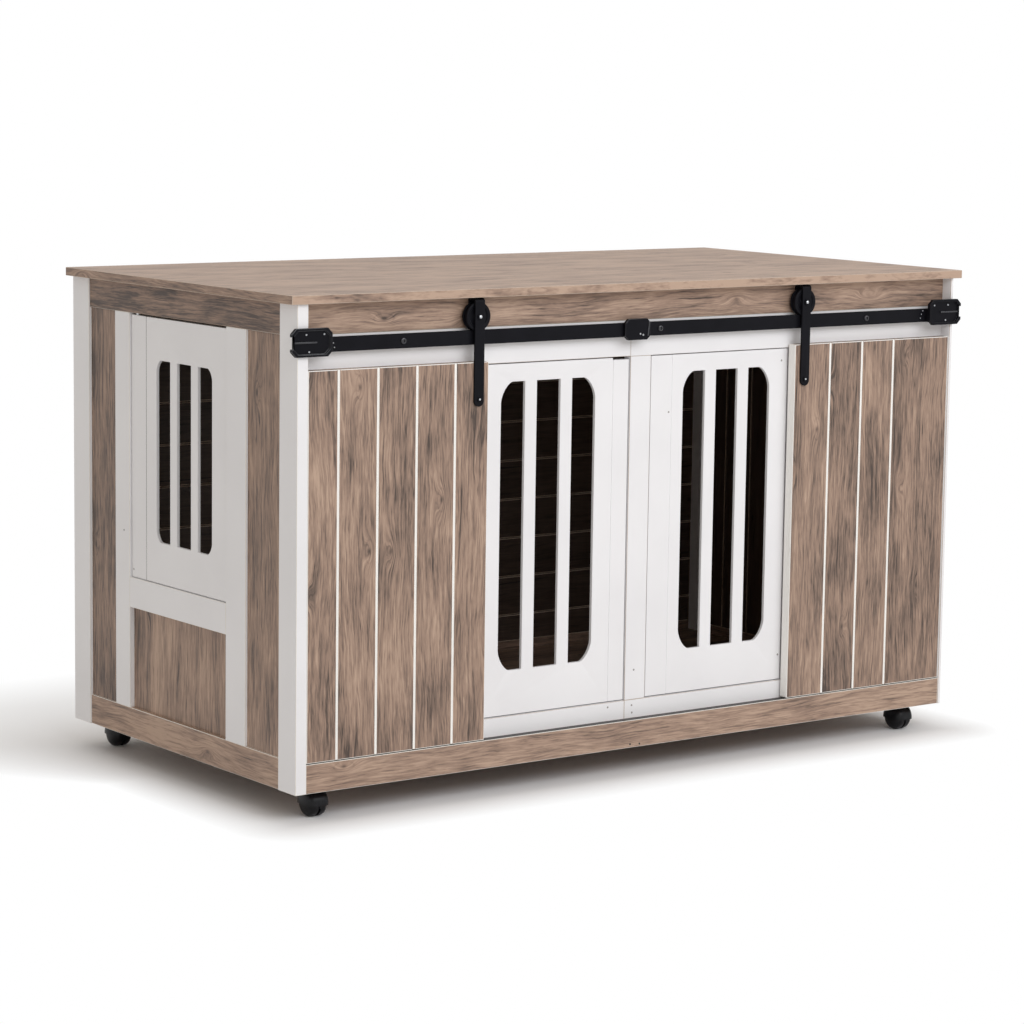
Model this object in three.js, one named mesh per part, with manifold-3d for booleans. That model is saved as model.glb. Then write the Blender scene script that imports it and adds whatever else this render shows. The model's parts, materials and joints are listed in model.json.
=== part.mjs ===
// Dog crate end table: a wood-look cabinet on ball casters. Two barred gates in the front swing
// out on pivot pins, two barn doors on a flat rail slide in front of them, and one more barred
// gate swings out of the left side.
// Millimetres. X runs to the right, Y to the back and Z up. The origin is on the ground under
// the middle of the tabletop.

import * as THREE from "three";
import { mergeVertices } from "three/addons/utils/BufferGeometryUtils.js";
import Module from "manifold-3d";

const wasm = await Module();
wasm.setup();

// ---------------------------------------------------------------- driving dimensions

// Tabletop and carcass
const TOP_LENGTH = 1200;
const TOP_DEPTH = 616;
const TOP_THICKNESS = 12;
const TOP_OVERHANG_SIDE = 12;
const TOP_OVERHANG_FRONT = 6;
const TOP_OVERHANG_BACK = 0;
const GROUND_CLEARANCE = 40.5;
const CARCASS_HEIGHT = 657;
const BOARD_THICKNESS = 15;
const POST_THICKNESS = 17;
const FRONT_POST_WIDTH = 44;
const BACK_POST_WIDTH = 47;
const RIGHT_POST_LIP = 4.5;
const FLOOR_RAISE = 13.5;
const FLOOR_THICKNESS = 15;
const TOP_RAIL_HEIGHT = 42.5;
const SIDE_BOTTOM_RAIL_HEIGHT = 43.5;
const BACK_SETBACK = 1;

// Front, with setbacks behind the front of the posts
const HEADER_HEIGHT = 51.5;
const FRONT_BOTTOM_RAIL_HEIGHT = 40;
const SILL_REVEAL = 26;
const BOTTOM_RAIL_SETBACK = 1;
const FRIEZE_SETBACK = 17.5;
const WHITE_FRONT_SETBACK = 18.5;
const MULLION_WIDTH = 37;
const MULLION_CENTRE = 0.5;
const JAMB_WIDTH = 50;
const JAMB_BESIDE_DOOR = 2.5;

// Front gates
const GATE_THICKNESS = 13;
const GATE_SETBACK = 20;
const GATE_OUTER_GAP = 3.5;
const GATE_INNER_GAP = 2;
const GATE_END_GAP = 1.5;
const GATE_PIVOT_INSET = 9;
const GATE_BAR_WIDTH = 20.3;
const GATE_OUTER_STILE = 34;
const GATE_INNER_STILE = 59;
const GATE_WINDOW_RAISE = 63;
const GATE_WINDOW_DROP = 25;
const GATE_CORNER_WIDTH = 20;
const GATE_CORNER_HEIGHT = 29;
const LEFT_GATE_STRIP_WIDTH = 28;
const LEFT_GATE_STRIP_DROP = 3;
const RIGHT_GATE_STRIP_WIDTH = 38;
const RIGHT_GATE_STRIP_DROP = 0;
const SCRIBE_WIDTH = 1.2;
const SCRIBE_DEPTH = 0.8;

// Left side, with recesses behind the outer face of the posts
const SIDE_RAIL_RECESS = 2;
const SIDE_STRIP_RECESS = 4;
const SIDE_STILE_RECESS = 1;
const SIDE_PANEL_RECESS = 8;
const SIDE_FRONT_STRIP_WIDTH = 86.5;
const SIDE_FRONT_STILE_WIDTH = 51.5;
const SIDE_BACK_STRIP_WIDTH = 75;
const SIDE_BACK_STILE_WIDTH = 41;
const CROSSPIECE_RAISE = 147.5;
const CROSSPIECE_HEIGHT = 43.5;

// Side gate
const SIDE_GATE_THICKNESS = 12;
const SIDE_GATE_RECESS = 3.5;
const SIDE_GATE_EDGE_GAP = 2;
const SIDE_GATE_HINGE_GAP = 1.8;
const SIDE_GATE_TOP_GAP = 3;
const SIDE_GATE_BOTTOM_GAP = 1;
const SIDE_GATE_STRIP_WIDTH = 42.5;
const SIDE_GATE_STRIP_RECESS = 0.8;
const SIDE_GATE_SEAM_WIDTH = 1.6;
const SIDE_GATE_SEAM_DEPTH = 2;
const SIDE_GATE_PIVOT_INSET = 10;
const SIDE_GATE_BAR_WIDTH = 18.7;
const SIDE_GATE_FRONT_STILE = 39;
const SIDE_GATE_BACK_STILE = 28;
const SIDE_GATE_WINDOW_END = 59;
const SIDE_GATE_CORNER_WIDTH = 12;
const SIDE_GATE_CORNER_HEIGHT = 16;

// Windows of the three gates: the bars are thinner than the frame, which stands proud behind them
const SLOT_COUNT = 3;
const BAR_THICKNESS = 5;
const FRONT_POCKET_MARGIN = 8;
const SIDE_POCKET_MARGIN = 12;
const CORNER_ROUNDNESS = 1.6;

// Pivot pins of the three gates
const PIN_DIAMETER = 6;
const PIN_DEPTH_IN_GATE = 9;
const PIN_DEPTH_IN_FRAME = 8;

// Plank grooves
const PLANK_WIDTH = 63;
const GROOVE_WIDTH = 3.6;
const GROOVE_DEPTH = 1.2;
const BACK_FIRST_PLANK = 42;
const RIGHT_SIDE_FIRST_PLANK = 22;

// Barn doors
const LEFT_DOOR_WIDTH = 292;
const LEFT_DOOR_PLANKS = 5;
const LEFT_DOOR_FIRST_PLANK = 48;
const RIGHT_DOOR_PLANKS = 4;
const RIGHT_DOOR_FIRST_PLANK = 69;
const RIGHT_DOOR_LAP = 5;
const DOOR_THICKNESS = 15;
const DOOR_SETBACK = 1.5;
const DOOR_POST_GAP = 1;
const DOOR_BOTTOM_GAP = 1;
const DOOR_TOP_LAP = 5.5;

// Rail, rollers and hangers
const RAIL_HEIGHT = 20;
const RAIL_THICKNESS = 4;
const RAIL_DROP = 45;
const RAIL_END_GAP = 1;
const RAIL_JOINT = -20;
const SPACER_DIAMETER = 14;
const LEFT_RAIL_SCREWS = [-417];
const RIGHT_RAIL_SCREWS = [24, 417];
const ROLLER_DIAMETER = 40;
const ROLLER_WIDTH = 11.5;
const ROLLER_GROOVE_DEPTH = 1.8;
const ROLLER_GROOVE_WIDTH = 5.2;
const ROLLER_DISH_DEPTH = 1.6;
const ROLLER_DISH_SLOPE = 1;
const ROLLER_RIM_WIDTH = 4;
const ROLLER_EDGE = 0.9;
const ROLLER_HUB_DIAMETER = 14;
const AXLE_DIAMETER = 6;
const AXLE_HEAD_DIAMETER = 9;
const BOLT_HEAD_DIAMETER = 7;
const BOLT_HEAD_HEIGHT = 1.6;
const BOLT_INSET = 10;
const STRAP_WIDTH = 16;
const STRAP_THICKNESS = 3;
const STRAP_BEND_RADIUS = 2;
const STRAP_ON_DOOR = 61;
const STRAP_BACK_LEG = 9;
const HANGER_INSET = 17.5;
const ROLLER_TOP_GAP = 2.2;

// Centre bracket and end stops of the rail
const BRACKET_LENGTH = 45;
const BRACKET_HEIGHT = 30;
const BRACKET_RISE = 5.5;
const BRACKET_THICKNESS = 5.5;
const BRACKET_CHAMFER = 6;
const BRACKET_PIN_DIAMETER = 4;
const STOP_LENGTH = 63.5;
const STOP_HEIGHT = 38;
const STOP_RISE = 13.5;
const STOP_OVERHANG = 12;
const STOP_PLATE = 2.2;
const STOP_PROUD = 5.6;
const STOP_RIM = 3.4;
const STOP_CHAMFER = 7;
const STOP_EAR_LENGTH = 3.2;
const STOP_EAR_HEIGHT = 11;
const STOP_TONGUE_LENGTH = 22;

// Ball casters
const WHEEL_DIAMETER = 38;
const WHEEL_WIDTH = 32;
const WHEEL_TREAD_WIDTH = 12;
const WHEEL_ROUNDNESS = 2.4;
const WHEEL_SLOT = 3.6;
const WEB_THICKNESS = 2.4;
const CASTER_AXLE_DIAMETER = 6;
const HOOD_CLEARANCE = 0.8;
const HOOD_WALL = 1.2;
const HOOD_SKIRT = 2;
const WEB_SKIRT = 6;
const CASTER_TRAIL = 10;
const STEM_DIAMETER = 8;
const STEM_GRIP = 9;
const COLLAR_DIAMETER = 16;
const COLLAR_ROOT = 11.5;
const CASTER_INSET_SIDE = 52;
const CASTER_INSET_FRONT = 48;
const CASTER_INSET_BACK = 48;

// Steps round each bend, window corner and wheel shoulder, and flats round the turned pieces
const BEND_STEPS = 6;
const CORNER_STEPS = 6;
const SHOULDER_STEPS = 5;
const WHEEL_FLATS = 20;
const ROLLER_FLATS = 28;
const ROD_FLATS = 16;

// Gap between pieces that turn or slide on each other
const RUNNING_GAP = 0.3;

// How far a cutting shape stands past the faces it cuts, and a joined one into its neighbour
const OVERCUT = 1;

// ---------------------------------------------------------------- planes and levels

const carcassLeft = -TOP_LENGTH / 2 + TOP_OVERHANG_SIDE;
const carcassHalf = -carcassLeft;
const innerHalf = carcassHalf - POST_THICKNESS;
const carcassFront = -TOP_DEPTH / 2 + TOP_OVERHANG_FRONT;
const carcassBack = TOP_DEPTH / 2 - TOP_OVERHANG_BACK;
const frontPostBack = carcassFront + FRONT_POST_WIDTH;
const backPostFront = carcassBack - BACK_POST_WIDTH;

// The front's boards stop at the left post and lap into a rebate in the right post
const frontLeft = -innerHalf;
const frontRight = carcassHalf - RIGHT_POST_LIP;

const carcassBottom = GROUND_CLEARANCE;
const carcassTop = carcassBottom + CARCASS_HEIGHT;
const topRailBottom = carcassTop - TOP_RAIL_HEIGHT;
const sideRailTop = carcassBottom + SIDE_BOTTOM_RAIL_HEIGHT;
const floorBottom = carcassBottom + FLOOR_RAISE;
const floorTop = floorBottom + FLOOR_THICKNESS;

const headerBottom = topRailBottom - HEADER_HEIGHT;
const frontRailTop = carcassBottom + FRONT_BOTTOM_RAIL_HEIGHT;
const sillTop = frontRailTop + SILL_REVEAL;
const whiteFront = carcassFront + WHITE_FRONT_SETBACK;
const whiteBack = whiteFront + BOARD_THICKNESS;
const mullionLeft = MULLION_CENTRE - MULLION_WIDTH / 2;
const mullionRight = MULLION_CENTRE + MULLION_WIDTH / 2;
const backPanelBack = carcassBack - BACK_SETBACK;
const backPanelFront = backPanelBack - BOARD_THICKNESS;

const gateBottom = sillTop + GATE_END_GAP;
const gateTop = headerBottom - GATE_END_GAP;
const gateFront = carcassFront + GATE_SETBACK;
const gatePivotY = gateFront + GATE_THICKNESS / 2;

const sideStripFrontEdge = frontPostBack + SIDE_FRONT_STRIP_WIDTH;
const sideOpeningFront = sideStripFrontEdge + SIDE_FRONT_STILE_WIDTH;
const sideStripBackEdge = backPostFront - SIDE_BACK_STRIP_WIDTH;
const sideOpeningBack = sideStripBackEdge - SIDE_BACK_STILE_WIDTH;
const crosspieceBottom = sideRailTop + CROSSPIECE_RAISE;
const crosspieceTop = crosspieceBottom + CROSSPIECE_HEIGHT;
const sideGateBottom = crosspieceTop + SIDE_GATE_BOTTOM_GAP;
const sideGateTop = topRailBottom - SIDE_GATE_TOP_GAP;
const sideGateFrontEdge = sideOpeningFront + SIDE_GATE_EDGE_GAP;
const sideGateBackEdge = sideOpeningBack - SIDE_GATE_HINGE_GAP;
const sideGatePivotY = sideGateBackEdge - SIDE_GATE_PIVOT_INSET;
const sideGatePivotX = carcassLeft + SIDE_GATE_RECESS + SIDE_GATE_THICKNESS / 2;

const doorFront = carcassFront + DOOR_SETBACK;
const doorBottom = frontRailTop + DOOR_BOTTOM_GAP;
const doorTop = headerBottom + DOOR_TOP_LAP;
const leftDoorOuter = frontLeft + DOOR_POST_GAP;
const rightDoorOuter = frontRight - DOOR_POST_GAP;
const openingHalf = JAMB_BESIDE_DOOR - leftDoorOuter - LEFT_DOOR_WIDTH;
const rightDoorWidth = rightDoorOuter - openingHalf + RIGHT_DOOR_LAP;
const gatePivotX = openingHalf - GATE_OUTER_GAP - GATE_PIVOT_INSET;

const rollerRadius = ROLLER_DIAMETER / 2;
const rollerTread = rollerRadius - ROLLER_GROOVE_DEPTH;
const rollerY = doorFront + RUNNING_GAP + ROLLER_WIDTH / 2;
const railTop = carcassTop - RAIL_DROP;
const railBottom = railTop - RAIL_HEIGHT;
const railFront = rollerY - RAIL_THICKNESS / 2;
const railBack = rollerY + RAIL_THICKNESS / 2;
const rollerZ = railTop + RUNNING_GAP + rollerTread;

const wheelRadius = WHEEL_DIAMETER / 2;
const hoodRadius = wheelRadius + HOOD_CLEARANCE + HOOD_WALL;
const casterX = carcassHalf - CASTER_INSET_SIDE;

// ---------------------------------------------------------------- materials

function finish(color, roughness, metalness = 0) {
  return new THREE.MeshStandardMaterial({ color, roughness, metalness });
}

const WOOD = finish(0xa58975, 0.62);
const WHITE = finish(0xebebee, 0.5);
const BLACK_STEEL = finish(0x1b1b20, 0.42, 0.7);
const BLACK_NYLON = finish(0x141416, 0.45);
const ZINC = finish(0xb9bcc2, 0.35, 0.9);

// ---------------------------------------------------------------- shapes and booleans

// Outline in X and Y, pulled up from Z = 0
function pullAlongZ(shape, length) {
  const options = { depth: length, bevelEnabled: false, curveSegments: BEND_STEPS };
  return new THREE.ExtrudeGeometry(shape, options);
}

// Outline in X and Z, pulled along Y and centred on it
function pullAlongY(shape, length) {
  const geometry = pullAlongZ(shape, length);
  geometry.translate(0, 0, -length / 2);
  return geometry.rotateX(Math.PI / 2);
}

// Outline in Y and Z, pulled along X and centred on it
function pullAlongX(shape, length) {
  const geometry = pullAlongZ(shape, length);
  geometry.translate(0, 0, -length / 2);
  const turn = new THREE.Matrix4();
  turn.makeBasis(new THREE.Vector3(0, 1, 0), new THREE.Vector3(0, 0, 1), new THREE.Vector3(1, 0, 0));
  return geometry.applyMatrix4(turn);
}

// Cylinder whose axis runs along X, Y or Z, centred on the given point
function rod(diameter, length, axis, [x, y, z]) {
  const geometry = new THREE.CylinderGeometry(diameter / 2, diameter / 2, length, ROD_FLATS);
  if (axis === "x") {
    geometry.rotateZ(Math.PI / 2);
  }
  if (axis === "z") {
    geometry.rotateX(Math.PI / 2);
  }
  return geometry.translate(x, y, z);
}

// Box between two opposite corners
function block([x0, y0, z0], [x1, y1, z1]) {
  const geometry = new THREE.BoxGeometry(Math.abs(x1 - x0), Math.abs(y1 - y0), Math.abs(z1 - z0));
  return geometry.translate((x0 + x1) / 2, (y0 + y1) / 2, (z0 + z1) / 2);
}

// Closed geometry as a solid that can be joined and cut
function toSolid(geometry) {
  const bare = geometry.clone();
  bare.deleteAttribute("normal");
  bare.deleteAttribute("uv");
  const merged = mergeVertices(bare, 1e-4);
  const index = merged.index.array;
  const triangles = [];
  for (let i = 0; i < index.length; i += 3) {
    const [a, b, c] = [index[i], index[i + 1], index[i + 2]];
    if (a !== b && b !== c && c !== a) {
      triangles.push(a, b, c);
    }
  }
  return new wasm.Manifold(new wasm.Mesh({
    numProp: 3,
    vertProperties: new Float32Array(merged.attributes.position.array),
    triVerts: new Uint32Array(triangles),
  }));
}

function toGeometry(solid) {
  const mesh = solid.getMesh();
  const geometry = new THREE.BufferGeometry();
  geometry.setAttribute("position", new THREE.BufferAttribute(new Float32Array(mesh.vertProperties), 3));
  geometry.setIndex(new THREE.BufferAttribute(new Uint32Array(mesh.triVerts), 1));
  geometry.computeVertexNormals();
  return geometry;
}

function cut(geometry, ...tools) {
  let solid = toSolid(geometry);
  for (const tool of tools) {
    solid = solid.subtract(toSolid(tool));
  }
  return toGeometry(solid);
}

function join(geometry, ...additions) {
  let solid = toSolid(geometry);
  for (const addition of additions) {
    solid = solid.add(toSolid(addition));
  }
  return toGeometry(solid);
}

function common(geometry, tool) {
  return toGeometry(toSolid(geometry).intersect(toSolid(tool)));
}

// Named sub-part with its own material, placed in its parent
function addPart(parent, name, look, geometry, [x, y, z] = [0, 0, 0]) {
  const mesh = new THREE.Mesh(geometry, look.clone());
  mesh.name = name;
  mesh.position.set(x, y, z);
  parent.add(mesh);
  return mesh;
}

// Plain board between two opposite corners
function addBoard(parent, name, look, [x0, y0, z0], [x1, y1, z1]) {
  const size = [Math.abs(x1 - x0), Math.abs(y1 - y0), Math.abs(z1 - z0)];
  const centre = [(x0 + x1) / 2, (y0 + y1) / 2, (z0 + z1) / 2];
  return addPart(parent, name, look, new THREE.BoxGeometry(...size), centre);
}

function addGroup(parent, x, y, z) {
  const group = new THREE.Group();
  group.position.set(x, y, z);
  parent.add(group);
  return group;
}

// ---------------------------------------------------------------- planks

// Places of the grooves between planks on a board of the given width
function grooveSteps(firstPlank, width) {
  const steps = [];
  for (let step = firstPlank; step < width - GROOVE_WIDTH; step += PLANK_WIDTH) {
    steps.push(step);
  }
  return steps;
}

// Cross-section of a board with a V groove at each step: along its width, across its thickness
function plankSection(width, thickness, steps, bothFaces) {
  const half = GROOVE_WIDTH / 2;
  const points = [[0, 0]];
  for (const step of steps) {
    points.push([step - half, 0], [step, GROOVE_DEPTH], [step + half, 0]);
  }
  points.push([width, 0], [width, thickness]);
  if (bothFaces) {
    for (const step of [...steps].reverse()) {
      points.push([step + half, thickness], [step, thickness - GROOVE_DEPTH], [step - half, thickness]);
    }
  }
  points.push([0, thickness]);
  return points;
}

function shapeFrom(points) {
  return new THREE.Shape(points.map(([u, v]) => new THREE.Vector2(u, v)));
}

// ---------------------------------------------------------------- carcass

function addTabletop(crate) {
  const low = [-TOP_LENGTH / 2, -TOP_DEPTH / 2, carcassTop];
  const high = [TOP_LENGTH / 2, TOP_DEPTH / 2, carcassTop + TOP_THICKNESS];
  addBoard(crate, "tabletop", WOOD, low, high);
}

function addPosts(crate) {
  for (const [side, label] of [[-1, "left"], [1, "right"]]) {
    const low = [side * carcassHalf, backPostFront, carcassBottom];
    addBoard(crate, `${label}_back_post`, WHITE, low, [side * innerHalf, carcassBack, carcassTop]);
  }
  const leftLow = [-carcassHalf, carcassFront, carcassBottom];
  addBoard(crate, "left_front_post", WHITE, leftLow, [frontLeft, frontPostBack, carcassTop]);
  const post = block([innerHalf, carcassFront, carcassBottom], [carcassHalf, frontPostBack, carcassTop]);
  const rebate = block(
    [innerHalf - OVERCUT, carcassFront - OVERCUT, carcassBottom - OVERCUT],
    [frontRight, whiteBack, carcassTop + OVERCUT],
  );
  addPart(crate, "right_front_post", WHITE, cut(post, rebate));
}

// Where the four caster stems stand in the floor, and which way along Y each wheel trails
function stemPlaces() {
  const places = [];
  for (const [side, label] of [[-1, "left"], [1, "right"]]) {
    const x = side * casterX;
    places.push({ name: `${label}_front`, x, y: carcassFront + CASTER_INSET_FRONT, way: -1 });
    places.push({ name: `${label}_back`, x, y: carcassBack - CASTER_INSET_BACK, way: 1 });
  }
  return places;
}

function addFloor(crate) {
  const panel = block([-innerHalf, whiteBack, floorBottom], [innerHalf, backPanelFront, floorTop]);
  const depth = STEM_GRIP + RUNNING_GAP;
  const holes = stemPlaces().map(({ x, y }) => {
    const middle = [x, y, floorBottom];
    return rod(STEM_DIAMETER + 2 * RUNNING_GAP, 2 * depth, "z", middle);
  });
  addPart(crate, "floor_panel", WOOD, cut(panel, ...holes));
}

function addBack(crate) {
  const railLow = [-innerHalf, backPanelFront, topRailBottom];
  addBoard(crate, "back_top_rail", WOOD, railLow, [innerHalf, backPanelBack, carcassTop]);
  const bottomLow = [-innerHalf, backPanelFront, carcassBottom];
  addBoard(crate, "back_bottom_rail", WOOD, bottomLow, [innerHalf, backPanelBack, sideRailTop]);
  const height = topRailBottom - sideRailTop;
  const section = plankSection(height, BOARD_THICKNESS, grooveSteps(BACK_FIRST_PLANK, height), true);
  const shape = shapeFrom(section.map(([along, across]) => [across, along]));
  addPart(crate, "back_panel", WOOD, pullAlongX(shape, 2 * innerHalf), [0, backPanelFront, sideRailTop]);
}

function addRightSide(crate) {
  const railX = carcassHalf - SIDE_RAIL_RECESS;
  const topLow = [innerHalf, frontPostBack, topRailBottom];
  addBoard(crate, "right_top_rail", WOOD, topLow, [railX, backPostFront, carcassTop]);
  const bottomLow = [innerHalf, frontPostBack, carcassBottom];
  addBoard(crate, "right_bottom_rail", WOOD, bottomLow, [railX, backPostFront, sideRailTop]);
  const width = backPostFront - frontPostBack;
  const thickness = POST_THICKNESS - SIDE_STRIP_RECESS;
  const section = plankSection(width, thickness, grooveSteps(RIGHT_SIDE_FIRST_PLANK, width), true);
  const shape = shapeFrom(section.map(([along, across]) => [across, along]));
  const panel = pullAlongZ(shape, topRailBottom - sideRailTop);
  addPart(crate, "right_side_panel", WOOD, panel, [innerHalf, frontPostBack, sideRailTop]);
}

// Hole for a pivot pin that stands half in a gate and half in the board above or below it
function pinHole(x, y, edge) {
  const depth = PIN_DEPTH_IN_FRAME + RUNNING_GAP;
  return rod(PIN_DIAMETER + 2 * RUNNING_GAP, 2 * depth, "z", [x, y, edge]);
}

function addLeftSide(crate) {
  const outer = (recess) => carcassLeft + recess;
  const inner = -innerHalf;
  const board = (name, look, recess, [y0, y1], [z0, z1]) => {
    addBoard(crate, name, look, [outer(recess), y0, z0], [inner, y1, z1]);
  };
  const upright = [sideRailTop, topRailBottom];
  const opening = [sideOpeningFront, sideOpeningBack];
  const full = [frontPostBack, backPostFront];
  board("left_bottom_rail", WOOD, SIDE_RAIL_RECESS, full, [carcassBottom, sideRailTop]);
  board("left_front_strip", WOOD, SIDE_STRIP_RECESS, [frontPostBack, sideStripFrontEdge], upright);
  board("left_front_stile", WHITE, SIDE_STILE_RECESS, [sideStripFrontEdge, sideOpeningFront], upright);
  board("left_back_stile", WHITE, SIDE_STILE_RECESS, [sideOpeningBack, sideStripBackEdge], upright);
  board("left_back_strip", WOOD, SIDE_STRIP_RECESS, [sideStripBackEdge, backPostFront], upright);
  board("left_lower_panel", WOOD, SIDE_PANEL_RECESS, opening, [sideRailTop, crosspieceBottom]);

  const topRail = block(
    [outer(SIDE_RAIL_RECESS), frontPostBack, topRailBottom],
    [inner, backPostFront, carcassTop],
  );
  const upperHole = pinHole(sideGatePivotX, sideGatePivotY, topRailBottom);
  addPart(crate, "left_top_rail", WOOD, cut(topRail, upperHole));

  const crosspiece = block(
    [outer(SIDE_STILE_RECESS), sideOpeningFront, crosspieceBottom],
    [inner, sideOpeningBack, crosspieceTop],
  );
  const lowerHole = pinHole(sideGatePivotX, sideGatePivotY, crosspieceTop);
  addPart(crate, "left_crosspiece", WHITE, cut(crosspiece, lowerHole));
}

// ---------------------------------------------------------------- front frame

function addFrontFrame(crate) {
  const friezeFront = carcassFront + FRIEZE_SETBACK;
  const friezeLow = [frontLeft, friezeFront, topRailBottom];
  addBoard(crate, "front_frieze", WOOD, friezeLow, [frontRight, friezeFront + BOARD_THICKNESS, carcassTop]);

  const railFrontFace = carcassFront + BOTTOM_RAIL_SETBACK;
  const railHigh = [frontRight, railFrontFace + BOARD_THICKNESS, frontRailTop];
  addBoard(crate, "front_bottom_rail", WOOD, [frontLeft, railFrontFace, carcassBottom], railHigh);

  for (const [side, label, outer] of [[-1, "left", frontLeft], [1, "right", frontRight]]) {
    const header = block([outer, whiteFront, headerBottom], [mullionLeft, whiteBack, topRailBottom]);
    const upperHole = pinHole(side * gatePivotX, gatePivotY, headerBottom);
    addPart(crate, `front_header_${label}`, WHITE, cut(header, upperHole));

    const sill = block([outer, whiteFront, floorBottom], [mullionLeft, whiteBack, sillTop]);
    const lowerHole = pinHole(side * gatePivotX, gatePivotY, sillTop);
    addPart(crate, `front_sill_${label}`, WHITE, cut(sill, lowerHole));

    const jambLow = [side * openingHalf, whiteFront, sillTop];
    const jambOuter = side * (openingHalf + JAMB_WIDTH);
    addBoard(crate, `${label}_jamb`, WHITE, jambLow, [jambOuter, whiteBack, headerBottom]);
    const infillLow = [jambOuter, whiteFront, sillTop];
    addBoard(crate, `${label}_infill`, WOOD, infillLow, [outer, whiteBack, headerBottom]);
  }
  const mullionHigh = [mullionRight, whiteBack, headerBottom];
  addBoard(crate, "centre_mullion", WHITE, [mullionLeft, whiteFront, sillTop], mullionHigh);
}

// ---------------------------------------------------------------- gates

function rectangle(u0, v0, u1, v1) {
  return shapeFrom([[u0, v0], [u1, v0], [u1, v1], [u0, v1]]);
}

// Quarter curve of a window corner, from its upright edge to its level edge: width and height
// from the inner end of the corner. It is flatter than an ellipse, between that and a chamfer.
function cornerCurve(width, height) {
  const power = 2 / CORNER_ROUNDNESS;
  const points = [[width, 0]];
  for (let i = 1; i < CORNER_STEPS; i += 1) {
    const angle = (Math.PI / 2) * (i / CORNER_STEPS);
    points.push([width * Math.cos(angle) ** power, height * Math.sin(angle) ** power]);
  }
  points.push([0, height]);
  return points;
}

// Slot with both corners rounded on one side: -1 for the left, +1 for the right
function roundedSlot(left, right, bottom, top, side, cornerWidth, cornerHeight) {
  const curve = cornerCurve(cornerWidth, cornerHeight);
  const [straight, round] = side < 0 ? [right, left] : [left, right];
  const inner = round - side * cornerWidth;
  const upper = curve.map(([u, v]) => [inner + side * u, top - cornerHeight + v]);
  const lower = curve.map(([u, v]) => [inner + side * u, bottom + cornerHeight - v]).reverse();
  return shapeFrom([[straight, bottom], ...lower, ...upper, [straight, top]]);
}

// Upright slots side by side in a window; the outer corners of the outer two are rounded
function slotShapes(left, right, bottom, top, barWidth, cornerWidth, cornerHeight) {
  const slotWidth = (right - left - (SLOT_COUNT - 1) * barWidth) / SLOT_COUNT;
  const shapes = [];
  for (let i = 0; i < SLOT_COUNT; i += 1) {
    const x0 = left + i * (slotWidth + barWidth);
    const x1 = x0 + slotWidth;
    const isOuter = i === 0 || i === SLOT_COUNT - 1;
    const side = i === 0 ? -1 : 1;
    shapes.push(isOuter
      ? roundedSlot(x0, x1, bottom, top, side, cornerWidth, cornerHeight)
      : rectangle(x0, bottom, x1, top));
  }
  return shapes;
}

// Pivot pin across the joint at a gate's top or bottom edge; up is +1 at the top and -1 below
function addPin(parent, name, frameEdge, gateEdge, up) {
  const low = up > 0 ? gateEdge - PIN_DEPTH_IN_GATE : frameEdge - PIN_DEPTH_IN_FRAME;
  const high = up > 0 ? frameEdge + PIN_DEPTH_IN_FRAME : gateEdge + PIN_DEPTH_IN_GATE;
  const pin = rod(PIN_DIAMETER, high - low, "z", [0, 0, 0]);
  addPart(parent, name, ZINC, pin, [0, 0, (low + high) / 2]);
}

// Holes that a gate's board needs for its two pins, at the pivot
function gatePinHoles(low, high) {
  const depth = PIN_DEPTH_IN_GATE + RUNNING_GAP;
  const bore = PIN_DIAMETER + 2 * RUNNING_GAP;
  return [
    rod(bore, 2 * depth, "z", [0, 0, low]),
    rod(bore, 2 * depth, "z", [0, 0, high]),
  ];
}

// Front gate in a group whose origin is its pivot axis; side is -1 for left and +1 for right.
// A scribed line marks off its meeting strip, whose top can stand lower than the rest.
function addFrontGate(crate, side, label, stripWidth, stripDrop) {
  const swing = addGroup(crate, side * gatePivotX, gatePivotY, 0);
  const outer = side * GATE_PIVOT_INSET;
  const mullionFace = side < 0 ? mullionLeft : mullionRight;
  const inner = mullionFace + side * GATE_INNER_GAP - side * gatePivotX;
  const front = -GATE_THICKNESS / 2;
  const back = GATE_THICKNESS / 2;
  const shape = rectangle(Math.min(outer, inner), gateBottom, Math.max(outer, inner), gateTop);

  const windowOuter = outer - side * GATE_OUTER_STILE;
  const windowInner = inner + side * GATE_INNER_STILE;
  const left = Math.min(windowOuter, windowInner);
  const right = Math.max(windowOuter, windowInner);
  const low = gateBottom + GATE_WINDOW_RAISE;
  const high = gateTop - GATE_WINDOW_DROP;
  const slots = slotShapes(left, right, low, high, GATE_BAR_WIDTH, GATE_CORNER_WIDTH, GATE_CORNER_HEIGHT)
    .map((slot) => pullAlongY(slot, 2 * GATE_THICKNESS));
  const pocket = block(
    [left - FRONT_POCKET_MARGIN, front + BAR_THICKNESS, low - FRONT_POCKET_MARGIN],
    [right + FRONT_POCKET_MARGIN, back + OVERCUT, high + FRONT_POCKET_MARGIN],
  );

  const stripEdge = inner + side * stripWidth;
  const scribe = block(
    [stripEdge - SCRIBE_WIDTH / 2, front - OVERCUT, gateBottom - OVERCUT],
    [stripEdge + SCRIBE_WIDTH / 2, front + SCRIBE_DEPTH, gateTop + OVERCUT],
  );
  const notch = block(
    [stripEdge, front - OVERCUT, gateTop - stripDrop],
    [inner - side * OVERCUT, back + OVERCUT, gateTop + OVERCUT],
  );
  const board = pullAlongY(shape, GATE_THICKNESS);
  const holes = gatePinHoles(gateBottom, gateTop);
  addPart(swing, `${label}_gate`, WHITE, cut(board, pocket, scribe, notch, ...slots, ...holes));
  addPin(swing, `${label}_gate_lower_pin`, sillTop, gateBottom, -1);
  addPin(swing, `${label}_gate_upper_pin`, headerBottom, gateTop, 1);
}

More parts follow.
